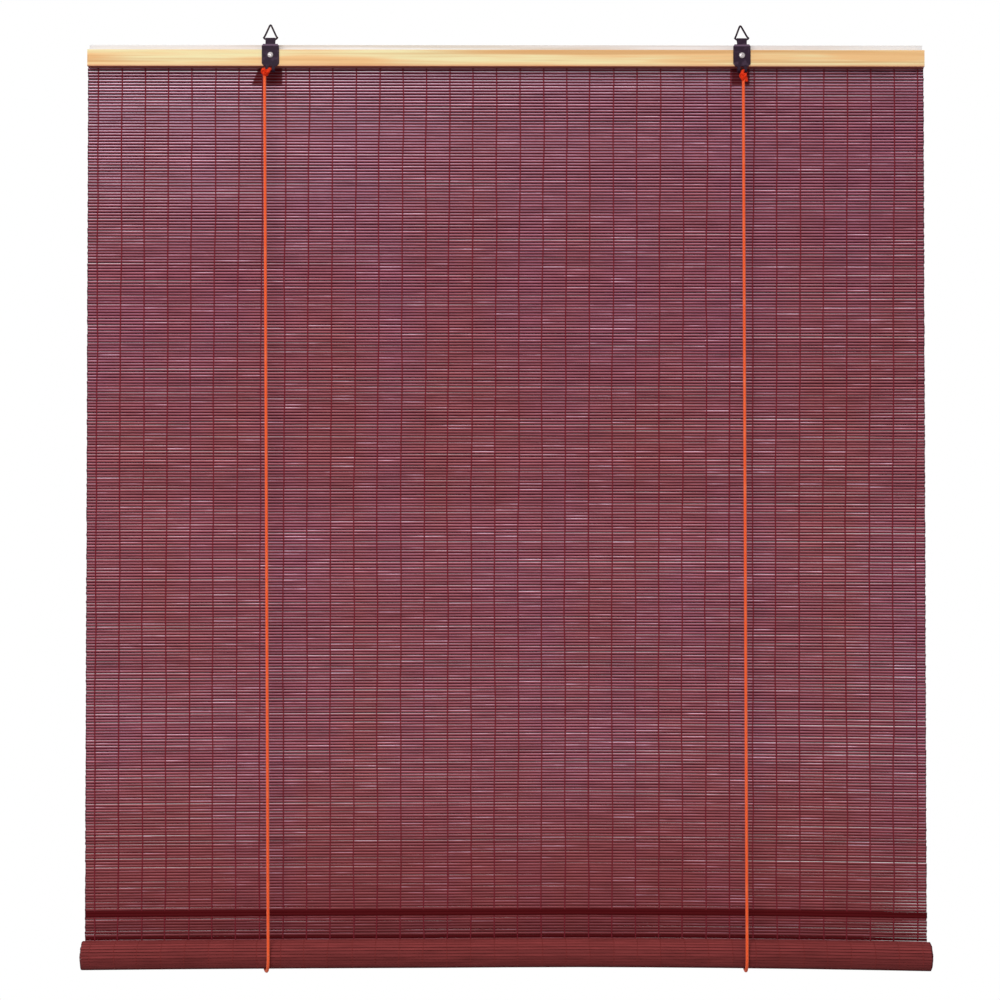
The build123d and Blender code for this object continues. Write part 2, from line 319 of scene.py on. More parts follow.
@dataclass(frozen=True)
class PineFinish:
    """Planed softwood with its grain along the blind and a few small knots, with painted shade along its
    lower edge and underside, warmed by the red mat's reflected light.
    """

    name: str
    pale: Colour
    warm: Colour
    streak: Colour
    knot: Colour
    knot_share: float
    low_edge: float = -NOWHERE
    # Painted shade along the lower edge of the front, warmed by the red mat's reflected light
    low_shade: Colour = screen(206, 112, 78)
    low_shade_share: float = 0.7
    low_shade_height: float = 3.0 * MM
    # Darker painted shade on the underside
    underside_shade: Colour = (0.2, 0.035, 0.04, 1.0)
    under_shade_share: float = 0.88
    under_shade_span: Span = (0.05 * MM, 0.2 * MM)
    drift_scale: Triple = (5.0, 100.0, 100.0)
    drift_span: Span = (0.38, 0.62)
    ring_scale: Triple = (2.2, 130.0, 130.0)
    ring_span: Span = (0.50, 0.64)
    ring_share: float = 0.7
    grain_scale: Triple = (6.0, 520.0, 520.0)
    pore_span: Span = (0.58, 0.78)
    pore_share: float = 0.45
    knot_scale: Triple = (6.3, 31.0, 31.0)
    knot_span: Span = (0.02, 0.075)
    roughness: Span = (0.5, 0.68)
    relief: float = 0.25 * MM

    def build(self) -> Material:
        """Make the material.

        Returns:
            The material.
        """
        shader = Shader(self.name)
        drift = shader.noise(shader.place(self.drift_scale), detail=3.0)
        grain = shader.noise(shader.place(self.grain_scale), detail=4.0)
        rings = shader.noise(shader.place(self.ring_scale))
        body = shader.ramp(drift, *zip(self.drift_span, (self.pale, self.warm)))
        body = shader.mix(rings.between(self.ring_span, (0.0, self.ring_share)), body, self.streak)
        body = shader.mix(grain.between(self.pore_span, (0.0, self.pore_share)), body, self.streak)
        cells = {"Vector": shader.place(self.knot_scale), "Scale": 1.0}
        away = shader.result("ShaderNodeTexVoronoi", cells, "Distance")
        body = shader.mix(away.between(self.knot_span, (self.knot_share, 0.0)), body, self.knot)
        # Painted shade on the rail's lower edge, and darker painted shade on its underside
        height = shader.place().parts()[2] - self.low_edge
        low = height.between((0.0, self.low_shade_height), (self.low_shade_share, 0.0))
        body = shader.mix(low, body, self.low_shade)
        body = shader.mix(height.between(self.under_shade_span, (self.under_shade_share, 0.0)), body, self.underside_shade)
        rough = grain.between(NOISE_REACH, self.roughness)
        shader.set(Base_Color=body, Roughness=rough, Specular_IOR_Level=0.3)
        shader.relief(grain, strength=0.35, depth=self.relief)
        return shader.material


@dataclass(frozen=True)
class BambooFinish:
    """Dyed split bamboo: a front with painted sheen and painted highlights on its upper rims, a redder back,
    dark edges that also carry painted shade between slats, and painted shade where the mat lies in shadow,
    with fibres along it.
    """

    name: str
    # edge: darker slat edges, which also carry the painted shade of the grooves between slats
    edge: Colour
    back: Colour
    # front and warm_front: the front colour with its painted sheen
    front: Colour
    warm_front: Colour
    # rim and warm_rim: painted highlight on each slat's upper rim
    rim: Colour
    warm_rim: Colour
    glint: Colour
    # deep: colour of the dark band and of the painted shade on the lower mat, the roll's underside and over
    # the guides
    deep: Colour
    thread_step: float = 28.0 * MM
    first_thread: float = -490.0 * MM
    # Painted shade at the ends of each slat
    slat_end: float = 501.0 * MM
    end_shade_length: float = 1.4 * MM
    end_shade_share: float = 0.7
    # Shares of brick red over the front's painted lavender sheen, by depth down the mat
    warm_shares: tuple[Span, ...] = (
        (0.0, 0.25), (0.20, 0.5), (0.34, 0.6), (0.46, 0.9), (0.60, 0.7), (0.82, 0.65), (0.96, 0.95))
    cloud_scale: Triple = (9.0, 4.0, 4.0)
    cloud_pull: float = 0.35
    fibre_scale: Triple = (9.0, 900.0, 900.0)
    patch_scale: Triple = (30.0, 300.0, 300.0)
    patch_pull: float = 0.2
    noise_span: Span = (0.3, 0.7)
    # Where there is no painted sheen, the edges take this share of the back colour and lose their painted
    # groove shade
    bare_share: float = 0.95
    face_span: Span = (0.80, 0.97)
    rim_span: Span = (1.05, 1.3)
    back_span: Span = (-0.15, -0.5)
    glint_span: Span = (0.85, 1.15)
    glint_share: float = 0.6
    tone_weight: float = 0.14
    chance_weight: float = 0.06
    fibre_weight: float = 0.30
    patch_weight: float = 0.50
    tone_span: Span = (0.30, 0.75)
    tone_reach: Span = (0.68, 1.32)
    light: Region = Region((-0.5, 0.45), (0.95, 0.1), (-0.26, -0.02))
    rail_light_down: Span = (-0.05, -0.018)
    rail_light_share: float = 0.5
    guide_share: float = 0.88
    guide_blur: float = 1.4 * MM
    guide_fade: float = 1.0 * MM
    left_guide_slope: float = 0.42
    roughness: Span = (0.5, 0.72)
    relief: float = 0.2 * MM

    def build(self) -> Material:
        """Make the material.

        Returns:
            The material.
        """
        shader = Shader(self.name)
        x, _, z = shader.place().parts()
        crown = shader.attribute("crown")
        wax = shader.attribute("wax")
        fibre = shader.noise(shader.place(self.fibre_scale), detail=4.0)
        patch = shader.noise(shader.place(self.patch_scale), detail=3.0)
        chance = self.stretch_chance(shader, x)
        warm = self.warmth(shader, z)
        edge = shader.mix(wax.between(UNIT, (self.bare_share, 0.0)), self.edge, self.back)
        # Painted sheen on the front, as much as the painted sheen share gives
        face = shader.mix(wax, self.back, shader.mix(warm, self.front, self.warm_front))
        # Painted groove shade on the slats' edges, the front colour on their faces
        body = shader.mix(crown.between(self.face_span), edge, face)
        bright = chance + patch.between(self.noise_span, (-self.patch_pull, self.patch_pull))
        rim = shader.mix(warm, self.rim, self.warm_rim)
        rim = shader.mix(bright.between(self.glint_span, (0.0, self.glint_share)), rim, self.glint)
        rim = shader.mix(self.backlight(x, z), rim, self.glint)
        # Painted highlight on the upper rims, where there is painted sheen
        body = shader.mix(crown.between(self.rim_span) * wax, body, rim)
        body = shader.mix(crown.between(self.back_span), body, self.back)
        tone = shader.attribute("tone") * self.tone_weight + chance * self.chance_weight
        tone = tone + fibre * self.fibre_weight + patch * self.patch_weight
        body = shader.mix(1.0, body, tone.between(self.tone_span, self.tone_reach), "MULTIPLY")
        # Deep colour for the dark band and the painted shade that the band attribute carries
        body = shader.mix(shader.attribute("band"), body, self.deep)
        body = shader.mix(self.guide_shade(x, z), body, self.deep)
        # Painted shade at the slat ends
        end_shade = abs(x).between((self.slat_end - self.end_shade_length, self.slat_end), (0.0, self.end_shade_share))
        body = shader.mix(end_shade, body, self.edge)
        rough = fibre.between(NOISE_REACH, self.roughness)
        shader.set(Base_Color=body, Roughness=rough, Specular_IOR_Level=0.02)
        shader.relief(fibre, strength=0.5, depth=self.relief)
        return shader.material

    def warmth(self, shader: Shader, z: Value) -> Value:
        """How far the front leans from wine with its painted lavender sheen to brick red, by height and in
        soft clouds.

        Args:
            shader: The bamboo's nodes.
            z: Height.

        Returns:
            A number that is 0 for wine with the painted lavender sheen and 1 for brick red.
        """
        stops = [(place, (share, share, share, 1.0)) for place, share in self.warm_shares]
        cloud = shader.noise(shader.place(self.cloud_scale))
        pull = cloud.between(self.noise_span, (-self.cloud_pull, self.cloud_pull))
        return shader.ramp(z.between((0.0, -1.0)), *stops) + pull

    def backlight(self, x: Value, z: Value) -> Value:
        """How much the slats' rims shine: most at the upper left, and just under the rail."""
        under_rail = z.between(self.rail_light_down, (0.0, self.rail_light_share))
        return self.light.strength(x, z) + under_rail

    def stretch_chance(self, shader: Shader, x: Value) -> Value:
        """Random number of each stretch of slat between two threads.

        Args:
            shader: The bamboo's nodes.
            x: Place across the blind.

        Returns:
            A number from 0 to 1.
        """
        stretch = shader.math("FLOOR", (x - self.first_thread) / self.thread_step)
        seat = shader.vector(stretch, shader.attribute("row"), 0.0)
        return shader.result("ShaderNodeTexWhiteNoise", {"Vector": seat}, "Value")

    def guide_shade(self, x: Value, z: Value) -> Value:
        """How much darker the slats look where a cord guide stands close behind them.

        Args:
            x: Place across the blind.
            z: Height.

        Returns:
            A number from 0 to under 1.
        """
        shades = []
        for hand, slope in ((Hand.LEFT, self.left_guide_slope), (Hand.RIGHT, 0.0)):
            low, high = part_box(hand.value + "_cord_guide")
            inside = x - ((z - low.z) * slope + low.x)
            left = inside.between((0.0, self.guide_blur), (0.0, self.guide_share))
            right = x.between((high.x - self.guide_blur, high.x), (self.guide_share, 0.0))
            shade = x.canvas.math("MINIMUM", left, right)
            shades.append(shade * z.between((low.z, low.z + self.guide_fade)))
        return x.canvas.math("MAXIMUM", *shades)


@dataclass(frozen=True)
class YarnFinish:
    """Twisted yarn or braid: a colour with painted shade in its hollows and a soft nap."""

    name: str
    crown: Colour
    hollow_shade: Colour
    faded: Colour
    nap: float = 0.0
    crown_place: float = 0.75
    wear_scale: Triple = (60.0, 60.0, 45.0)
    wear_span: Span = (0.5, 0.8)
    wear_share: float = 0.55
    fuzz_scale: Triple = (2600.0, 2600.0, 1700.0)
    relief: float = 0.15 * MM

    def build(self) -> Material:
        """Make the material.

        Returns:
            The material.
        """
        shader = Shader(self.name)
        wear = shader.noise(shader.place(self.wear_scale), detail=3.0)
        fuzz = shader.noise(shader.place(self.fuzz_scale))
        # Painted shade in the braid's hollows and where threads dip between slats
        body = shader.ramp(shader.attribute("braid"), (0.0, self.hollow_shade), (self.crown_place, self.crown))
        body = shader.mix(wear.between(self.wear_span, (0.0, self.wear_share)), body, self.faded)
        shader.set(Base_Color=body, Roughness=0.85, Sheen_Weight=self.nap, Sheen_Roughness=0.5,
                   Specular_IOR_Level=0.2)
        shader.relief(fuzz, strength=0.4, depth=self.relief)
        return shader.material


@dataclass(frozen=True)
class MetalFinish:
    """Metal under a coat or plating, with wear through the coat in small places and a painted highlight
    along a bend.
    """

    name: str
    coat: Colour
    wear_and_highlight: Colour
    worn_share: float
    metallic: float = 0.0
    roughness: float = 0.5
    # A painted highlight along a band of heights, where a bend catches the light
    highlight_height: float = NOWHERE
    highlight_half: float = 1.3 * MM
    highlight_core: float = 0.4
    highlight_share: float = 0.9
    cloud_scale: float = 160.0
    worn_span: Span = (0.52, 0.72)
    speck_scale: float = 1500.0
    speck_span: Span = (0.25, 0.75)
    speck_shares: Span = (0.8, 1.25)
    relief: float = 0.05 * MM

    def build(self) -> Material:
        """Make the material.

        Returns:
            The material.
        """
        shader = Shader(self.name)
        cloud = shader.noise(shader.place((self.cloud_scale,) * 3), detail=4.0)
        speck = shader.noise(shader.place((self.speck_scale,) * 3), detail=3.0)
        # Painted highlight on the plate's bent shoulder, joined with the worn spots
        away = abs(shader.place().parts()[2] - self.highlight_height)
        bend = away.between((self.highlight_core * self.highlight_half, self.highlight_half), (self.highlight_share, 0.0))
        wear_and_highlight = shader.math("MAXIMUM", cloud.between(self.worn_span, (0.0, self.worn_share)), bend)
        low, high = self.speck_shares
        rough = speck.between(self.speck_span, (self.roughness * low, self.roughness * high))
        body = shader.mix(wear_and_highlight, self.coat, self.wear_and_highlight)
        shader.set(Base_Color=body, Metallic=self.metallic, Roughness=rough, Specular_IOR_Level=0.1)
        shader.relief(speck, strength=0.25, depth=self.relief)
        return shader.material


class Finishes:
    """Every finish of the blind, made once."""

    def __init__(self) -> None:
        """Make the materials of all finishes."""
        streak = screen(214, 158, 98)
        knot = screen(122, 74, 40)
        self.pine = PineFinish("pine", screen(244, 230, 176), screen(243, 194, 134), streak, knot,
                               knot_share=0.8, low_edge=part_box("head_rail")[0].z).build()
        self.pale_wood = PineFinish("pale_wood", screen(232, 232, 236), screen(226, 222, 222),
                                    screen(208, 198, 186), screen(170, 150, 130), knot_share=0.4).build()
        self.rod_wood = PineFinish("rod_wood", screen(221, 188, 140), screen(206, 167, 116),
                                   streak, knot, knot_share=0.3).build()
        self.bamboo = BambooFinish(
            "bamboo", edge=screen(50, 4, 24), back=screen(127, 55, 55), front=screen(139, 74, 88),
            warm_front=screen(139, 69, 73), rim=screen(186, 124, 152), warm_rim=screen(182, 114, 122),
            glint=screen(255, 214, 240), deep=screen(82, 16, 20)).build()
        self.thread = YarnFinish("thread", screen(122, 26, 40), screen(94, 16, 28),
                                 screen(130, 38, 50), nap=0.1).build()
        self.roll_thread = YarnFinish("roll_thread", screen(124, 44, 42), screen(108, 34, 34),
                                      screen(130, 50, 48)).build()
        self.cord = YarnFinish("cord", screen(255, 106, 54), screen(226, 64, 24),
                               screen(255, 128, 82), nap=0.15).build()
        self.cord_knot = YarnFinish("cord_knot", screen(240, 56, 8), screen(168, 24, 4),
                                    screen(246, 80, 26)).build()
        # The black plates get a painted highlight along the shoulder bend
        self.black_metal = MetalFinish("black_metal", screen(41, 24, 41), screen(114, 90, 112),
                                       worn_share=0.3, highlight_height=12.6 * MM).build()
        self.guide_metal = MetalFinish("guide_metal", screen(92, 18, 22), screen(70, 16, 20),
                                       worn_share=0.6).build()
        self.ring_wire = MetalFinish("ring_wire", screen(44, 30, 42), screen(120, 90, 78),
                                     worn_share=0.6).build()
        self.zinc = MetalFinish("zinc", screen(180, 174, 174), screen(112, 106, 106),
                                worn_share=0.8, metallic=1.0, roughness=0.42).build()
        self.staple_wire = MetalFinish("staple_wire", screen(186, 186, 190), screen(140, 138, 136),
                                       worn_share=0.5, metallic=1.0, roughness=0.3).build()


def plain_mesh(name: str, holder: Object) -> Mesh:
    """Mesh of an object as its modifiers or curve make it, and the object removed.

    Args:
        name: The mesh's name.
        holder: The object.

    Returns:
        The plain mesh.
    """
    depsgraph = bpy.context.evaluated_depsgraph_get()
    mesh = bpy.data.meshes.new_from_object(holder.evaluated_get(depsgraph), preserve_all_data_layers=True,
                                           depsgraph=depsgraph)
    holder.modifiers.clear()
    bpy.data.objects.remove(holder)
    mesh.name = name
    return mesh


def scene_object(name: str, data: ID) -> Object:
    """Object at the origin, in the scene.

    Args:
        name: The object's name.
        data: Its mesh, curve, lamp or camera.

    Returns:
        The object.
    """
    item = bpy.data.objects.new(name, data)
    bpy.context.scene.collection.objects.link(item)
    return item


def shape_object(name: str, shape: BMesh, smooth: bool = False) -> Object:
    """Object from a shape, which is freed.

    Args:
        name: The object's name.
        shape: Its faces.
        smooth: Whether the faces are shaded smooth.

    Returns:
        The object.
    """
    for face in shape.faces:
        face.smooth = smooth
    mesh = bpy.data.meshes.new(name)
    shape.to_mesh(mesh)
    shape.free()
    return scene_object(name, mesh)


class GeometryTree(NodeCanvas):
    """A Geometry Nodes tree with named inputs that ends as one plain mesh."""

    def __init__(self, name: str) -> None:
        """Start a tree.

        Args:
            name: Name of the piece that it makes.
        """
        super().__init__(bpy.data.node_groups.new(name, "GeometryNodeTree"))
        self.name = name
        self.tree.interface.new_socket("Geometry", in_out="OUTPUT", socket_type="NodeSocketGeometry")
        self.entry = self.tree.nodes.new("NodeGroupInput")
        self.values: dict[str, object] = {}
        self.templates: list[Object] = []

    def named_input(self, name: str, kind: str, value: object) -> Value:
        """Add a named input of the tree and keep what it is set to.

        Args:
            name: The input's name.
            kind: Its socket type.
            value: What it is set to.

        Returns:
            The input, inside the tree.
        """
        item = self.tree.interface.new_socket(name, in_out="INPUT", socket_type=kind)
        self.values[item.identifier] = value
        return Value(self, next(s for s in self.entry.outputs if s.identifier == item.identifier))

    def number(self, name: str, value: float) -> Value:
        """Named input for a size or share."""
        return self.named_input(name, "NodeSocketFloat", value)

    def count(self, name: str, value: int) -> Value:
        """Named input for a whole number."""
        return self.named_input(name, "NodeSocketInt", value)

    def shape(self, name: str, template: Object) -> Value:
        """Geometry of a template object, which is removed when the piece is made.

        Args:
            name: Name of the input that takes it.
            template: The object.

        Returns:
            The geometry.
        """
        self.templates.append(template)
        holder = self.named_input(name, "NodeSocketObject", template)
        return self.result("GeometryNodeObjectInfo", {"Object": holder}, "Geometry")

    def index(self) -> Value:
        """Number of each point, from 0."""
        return self.result("GeometryNodeInputIndex")

    def random(self, low: float, high: float, seed: int) -> Value:
        """Fixed random number for each point."""
        inputs = {"Min_001": low, "Max_001": high, "ID": self.index(), "Seed": seed}
        return self.result("FunctionNodeRandomValue", inputs, RANDOM_NUMBER, data_type="FLOAT")

    def points(self, count: Value, place: Value) -> Value:
        """Row of points at worked-out places."""
        line = self.result("GeometryNodeMeshLine", {"Count": count})
        return self.result("GeometryNodeSetPosition", {"Geometry": line, "Position": place})

    def store(self, instances: Value, **numbers: Number) -> Value:
        """Keep numbers on instances.

        Args:
            instances: The instances.
            **numbers: The numbers, each under its name.

        Returns:
            The instances with their numbers.
        """
        for name, number in numbers.items():
            inputs = {"Geometry": instances, "Name": name, "Value": number}
            instances = self.result("GeometryNodeStoreNamedAttribute", inputs, data_type="FLOAT",
                                    domain="INSTANCE")
        return instances

    def named(self, name: str) -> Value:
        """Number kept on the geometry under a name."""
        return self.result("GeometryNodeInputNamedAttribute", {"Name": name}, data_type="FLOAT")

    def place(self) -> tuple[Value, ...]:
        """The three coordinates of each point."""
        return self.result("GeometryNodeInputPosition").parts()

    def instances(self, points: Value, shape: Value, turn: Value, height: Number) -> Value:
        """Put a shape on every point.

        Args:
            points: The points.
            shape: The shape.
            turn: Its Euler angles.
            height: Its scale along its own height.

        Returns:
            The instances.
        """
        rotation = self.result("FunctionNodeEulerToRotation", {"Euler": turn})
        scale = self.vector(1.0, 1.0, height)
        inputs = {"Points": points, "Instance": shape, "Rotation": rotation, "Scale": scale}
        return self.result("GeometryNodeInstanceOnPoints", inputs)

    def realize(self, instances: Value) -> Value:
        """Turn instances into real geometry."""
        return self.result("GeometryNodeRealizeInstances", {"Geometry": instances})

    def shift(self, geometry: Value, x: Number = 0.0, z: Number = 0.0) -> Value:
        """Move each point across and up."""
        offset = self.vector(x, 0.0, z)
        return self.result("GeometryNodeSetPosition", {"Geometry": geometry, "Offset": offset})

    def weld(self, geometry: Value) -> Value:
        """Merge points that meet."""
        return self.result("GeometryNodeMergeByDistance", {"Geometry": geometry, "Distance": WELD})

    def piece(self, geometry: Value, material: Material) -> Object:
        """End the tree and turn its result into a plain mesh object.

        Args:
            geometry: The last geometry.
            material: The finish of the whole piece.

        Returns:
            An object at the origin with the result as its mesh.
        """
        finish = self.named_input("Finish", "NodeSocketMaterial", material)
        inputs = {"Geometry": self.realize(geometry), "Material": finish}
        dressed = self.result("GeometryNodeSetMaterial", inputs)
        self.join(self.tree.nodes.new("NodeGroupOutput").inputs[0], dressed)
        holder = scene_object(self.name + "_tree", bpy.data.meshes.new(self.name + "_tree"))
        modifier = holder.modifiers.new("rows", "NODES")
        modifier.node_group = self.tree
        for identifier, value in self.values.items():
            modifier[identifier] = value
        mesh = plain_mesh(self.name, holder)
        for template in self.templates:
            bpy.data.objects.remove(template)
        return scene_object(self.name, mesh)


def spline_points(route: list[Vector], steps: int, closed: bool = False) -> list[Vector]:
    """Points of the smooth line along a route.

    Args:
        route: Control points, in metres.
        steps: Points read for each control point.
        closed: Whether the line joins its own start.

    Returns:
        The line's points in order, the first one not repeated.
    """
    curve = bpy.data.curves.new("route", "CURVE")
    curve.dimensions = "3D"
    spline = curve.splines.new("NURBS")
    spline.points.add(len(route) - 1)
    for point, place in zip(spline.points, route):
        point.co = (*place, 1.0)
    spline.order_u = 3
    spline.use_endpoint_u = not closed
    spline.use_cyclic_u = closed
    spline.resolution_u = steps
    mesh = plain_mesh("route", scene_object("route", curve))
    line = [vertex.co.copy() for vertex in mesh.vertices]
    bpy.data.curves.remove(curve)
    bpy.data.meshes.remove(mesh)
    return line


def bridge(shape: BMesh, rings: list[list[BMVert]], ends: Ends) -> None:
    """Join rings of vertices with faces.

    Args:
        shape: The mesh that takes the faces.
        rings: The rings in order, all of one size.
        ends: How the row ends.
    """
    pairs = list(zip(rings, rings[1:]))
    if ends is Ends.JOINED:
        pairs.append((rings[-1], rings[0]))
    size = len(rings[0])
    for first, second in pairs:
        for k in range(size):
            after = (k + 1) % size
            shape.faces.new((first[k], first[after], second[after], second[k]))
    if ends is Ends.CAPPED:
        shape.faces.new(rings[0][::-1])
        shape.faces.new(rings[-1])


def prism(shape: BMesh, rings: list[list[Vector]]) -> list[list[BMVert]]:
    """Add a closed bar through rings of points to a mesh.

    Args:
        shape: The mesh that takes the bar.
        rings: Points of each section along it.

    Returns:
        The bar's vertices, ring by ring.
    """
    verts = [[shape.verts.new(point) for point in ring] for ring in rings]
    bridge(shape, verts, Ends.CAPPED)
    bmesh.ops.recalc_face_normals(shape, faces=shape.faces[:])
    return verts


@dataclass(frozen=True)
class Tube:
    """A round tube along a line, plain for wire or braided for cord."""

    radius: float
    sides: int
    strands: int = 0
    relief: float = 0.0
    pitch: float = 1.0

    def ring_shape(self, along: float, angle: float) -> Span:
        """Radius and braid height at a place on the tube.

        Args:
            along: Distance from the tube's start.
            angle: Angle round it.

        Returns:
            The radius, and the height from 0 to 1.
        """
        if not self.strands:
            return self.radius, 1.0
        wave = math.cos(self.strands * angle) * math.cos(TURN * along / self.pitch)
        height = 0.5 + 0.5 * wave
        return self.radius * (1.0 + self.relief * (height - 0.5)), height

    def add_to(self, shape: BMesh, line: list[Vector], closed: bool = False) -> None:
        """Add the tube's faces to a mesh.

        Args:
            shape: The mesh that takes the faces.
            line: Points that the tube follows.
            closed: Whether the line joins its own start.
        """
        layer = shape.verts.layers.float.get("braid") or shape.verts.layers.float.new("braid")
        count = len(line)
        side = None
        along = 0.0
        rings = []
        for i, point in enumerate(line):
            ahead = line[(i + 1) % count] if closed else line[min(i + 1, count - 1)]
            behind = line[i - 1] if closed else line[max(i - 1, 0)]
            way = (ahead - behind).normalized()
            if side is None:
                side = way.orthogonal().normalized()
            side = (side - way * side.dot(way)).normalized()
            other = way.cross(side)
            if i:
                along += (point - line[i - 1]).length
            ring = []
            for k in range(self.sides):
                angle = TURN * k / self.sides
                radius, height = self.ring_shape(along, angle)
                spoke = side * math.cos(angle) + other * math.sin(angle)
                vertex = shape.verts.new(point + spoke * radius)
                vertex[layer] = height
                ring.append(vertex)
            rings.append(ring)
        bridge(shape, rings, Ends.JOINED if closed else Ends.CAPPED)


def dress(piece: Object, material: Material) -> None:
    """Give a piece or a CAD node one finish all over."""
    piece.data.materials.clear()
    piece.data.materials.append(material)


def settle(piece: Object, body: Body, slot: str, *nodes: str) -> None:
    """Put a finished piece on its body.

    Args:
        piece: The finished piece.
        body: The body that it rides on.
        slot: Not used; the record's finish that the piece shows.
        *nodes: CAD nodes that it stands for.
    """
    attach(piece, body.value)
    if nodes:
        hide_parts(*nodes)
    LOG.info("%s: %d faces on %s", piece.name, len(piece.data.polygons), body.value)


def softened(name: str, node: str, width: float) -> Object:
    """Copy of a CAD node with its sharp edges rounded.

    Args:
        name: The copy's name.
        node: The CAD node.
        width: Width of the rounding, in metres.

    Returns:
        The copy, as a plain mesh.
    """
    shape = bmesh.new()
    shape.from_mesh(bpy.data.objects[node].data)
    bmesh.ops.remove_doubles(shape, verts=shape.verts[:], dist=SEAM)
    bmesh.ops.dissolve_limit(shape, verts=shape.verts[:], edges=shape.edges[:], angle_limit=FLAT)
    holder = shape_object(name + "_sharp", shape)
    bevel = holder.modifiers.new("edges", "BEVEL")
    bevel.width = width
    bevel.segments = 2
    bevel.limit_method = "ANGLE"
    bevel.angle_limit = SHARP
    return scene_object(name, plain_mesh(name, holder))


def close_ends(piece: Object) -> Object:
    """Cap the open ends of a piece's threads.

    Args:
        piece: The piece, as a plain mesh.

    Returns:
        The same piece, closed.
    """
    shape = bmesh.new()
    shape.from_mesh(piece.data)
    bmesh.ops.holes_fill(shape, edges=[edge for edge in shape.edges if edge.is_boundary])
    bmesh.ops.recalc_face_normals(shape, faces=shape.faces[:])
    shape.to_mesh(piece.data)
    shape.free()
    return piece


@dataclass(frozen=True)
class SlatRows:
    """The heights of the mat's slat rows, closer together towards the bottom."""

    top: float = -12.5 * MM
    clamped: int = 4
    rows: int = 302
    run_on: int = 3
    top_pitch: float = 3.57 * MM
    low_pitch: float = 3.41 * MM

    @property
    def hanging(self) -> int:
        """The row after the last one that hangs from the head."""
        return self.rows - self.run_on

    @property
    def closing(self) -> float:
        """How much the pitch falls from row to row, halved."""
        return 0.5 * (self.low_pitch - self.top_pitch) / self.rows

    def span(self, first_share: float, end_share: float) -> Span:
        """Two rows given as shares of all rows."""
        return first_share * self.rows, end_share * self.rows

    def depth(self, row: int) -> float:
        """Distance from the top down to where a row starts."""
        return row * self.top_pitch + row * row * self.closing

    def pitch(self, row: Value) -> Value:
        """Height that a row takes up."""
        return row.between((0.0, float(self.rows)), (self.top_pitch, self.low_pitch))

    def height(self, tree: GeometryTree, row: Value) -> Value:
        """Height of the middle of a row.

        Args:
            tree: The tree that needs it.
            row: The row.

        Returns:
            The height.
        """
        middle = row + 0.5
        drop = middle * tree.number("Top pitch", self.top_pitch)
        drop = drop + middle * middle * tree.number("Closing", self.closing)
        return tree.number("Top", self.top) - drop


@dataclass(frozen=True)
class Slat:
    """One split slat: flat at the back and crowned in front.

    Its corners are given as depth and height in shares of the half sizes, with their crown.
    """

    length: float = 1002.6 * MM
    height: float = 3.0 * MM
    thickness: float = 1.7 * MM
    pieces: int = 12
    corners: tuple[Triple, ...] = ((1.0, -0.92, -1.0), (-0.2, -1.0, 0.0), (-1.0, -0.24, 1.0),
                                   (-1.0, 0.48, 1.0), (-0.4, 1.0, 2.0), (1.0, 0.92, -1.0))

    def template(self) -> Object:
        """Slat lying along X about the origin.

        Returns:
            The slat.
        """
        shape = bmesh.new()
        layer = shape.verts.layers.float.new("crown")
        half = 0.5 * self.height
        deep = 0.5 * self.thickness
        rings = []
        for i in range(self.pieces + 1):
            x = self.length * (i / self.pieces - 0.5)
            rings.append([Vector((x, y * deep, z * half)) for y, z, _ in self.corners])
        for ring in prism(shape, rings):
            for vertex, (_, _, crown) in zip(ring, self.corners):
                vertex[layer] = crown
        return shape_object("slat_template", shape)


@dataclass(frozen=True)
class Stitch:
    """One stitch of a warp thread over one slat."""

    half_width: float = 1.0 * MM
    half_depth: float = 0.42 * MM
    crown: float = 0.98 * MM
    dip: float = 0.55 * MM
    # The dips get a low braid height, so the painted hollow shade
    dip_braid: float = 0.2
    sides: int = 4

    def template(self, pitch: float) -> Object:
        """Stitch over a slat at the origin, bulging towards +Y.

        Args:
            pitch: Height of the stitch.

        Returns:
            The stitch, open at both ends.
        """
        shape = bmesh.new()
        layer = shape.verts.layers.float.new("braid")
        rings = []
        for height, depth, braid in ((-0.5, self.dip, self.dip_braid), (0.0, self.crown, 1.0),
                                     (0.5, self.dip, self.dip_braid)):
            ring = []
            for k in range(self.sides):
                angle = TURN * (k + 0.5) / self.sides
                vertex = shape.verts.new((math.cos(angle) * self.half_width,
                                          depth + math.sin(angle) * self.half_depth, height * pitch))
                vertex[layer] = braid
                ring.append(vertex)
            rings.append(ring)
        bridge(shape, rings, Ends.OPEN)
        return shape_object("stitch_template", shape, smooth=True)


@dataclass(frozen=True)
class Warp:
    """The warp threads' places across the mat, and how they stray."""

    stitch: Stitch
    wander: float
    layer: float
    threads: int = 36
    span: float = 980.0 * MM
    column_step: float = 3.7

    def grid(self, tree: GeometryTree, rows: int) -> tuple[Value, Value, Value, Value]:
        """Numbers of a grid of stitches, row by row.

        Args:
            tree: The tree that needs it.
            rows: Slat rows that the threads cross.

        Returns:
            The count of stitches, and the row, the column and the place across of each.
        """
        columns = tree.count("Threads", self.threads)
        row = tree.math("FLOOR", (tree.index() + 0.5) / columns)
        column = tree.index() - row * columns
        x = column * tree.number("Step", self.span / (self.threads - 1)) - 0.5 * self.span
        return columns * tree.count("Rows", rows), row, column, x

    def sway(self, tree: GeometryTree, along: Value) -> Value:
        """How far a thread strays sideways.

        Args:
            tree: The tree that needs it.
            along: Place along the thread, in lengths of its waves.

        Returns:
            The stray, in metres.
        """
        seat = tree.vector(along, tree.named("column") * self.column_step, self.layer)
        return (tree.noise(seat) - 0.5) * tree.number("Wander", self.wander)


@dataclass(frozen=True)
class RollBend:
    """How the roll bends where it hangs in its two slings, as parabolas through them."""

    sling_reach: float = 0.28
    left: float = 0.0096
    right: float = 0.0216
    change: Span = (-0.1, 0.1)

    def rise(self, x: Value) -> Value:
        """How far the roll stands above a straight line, or below it where negative."""
        bend = x.between(self.change, (self.left, self.right))
        return bend * (self.sling_reach * self.sling_reach - x * x)


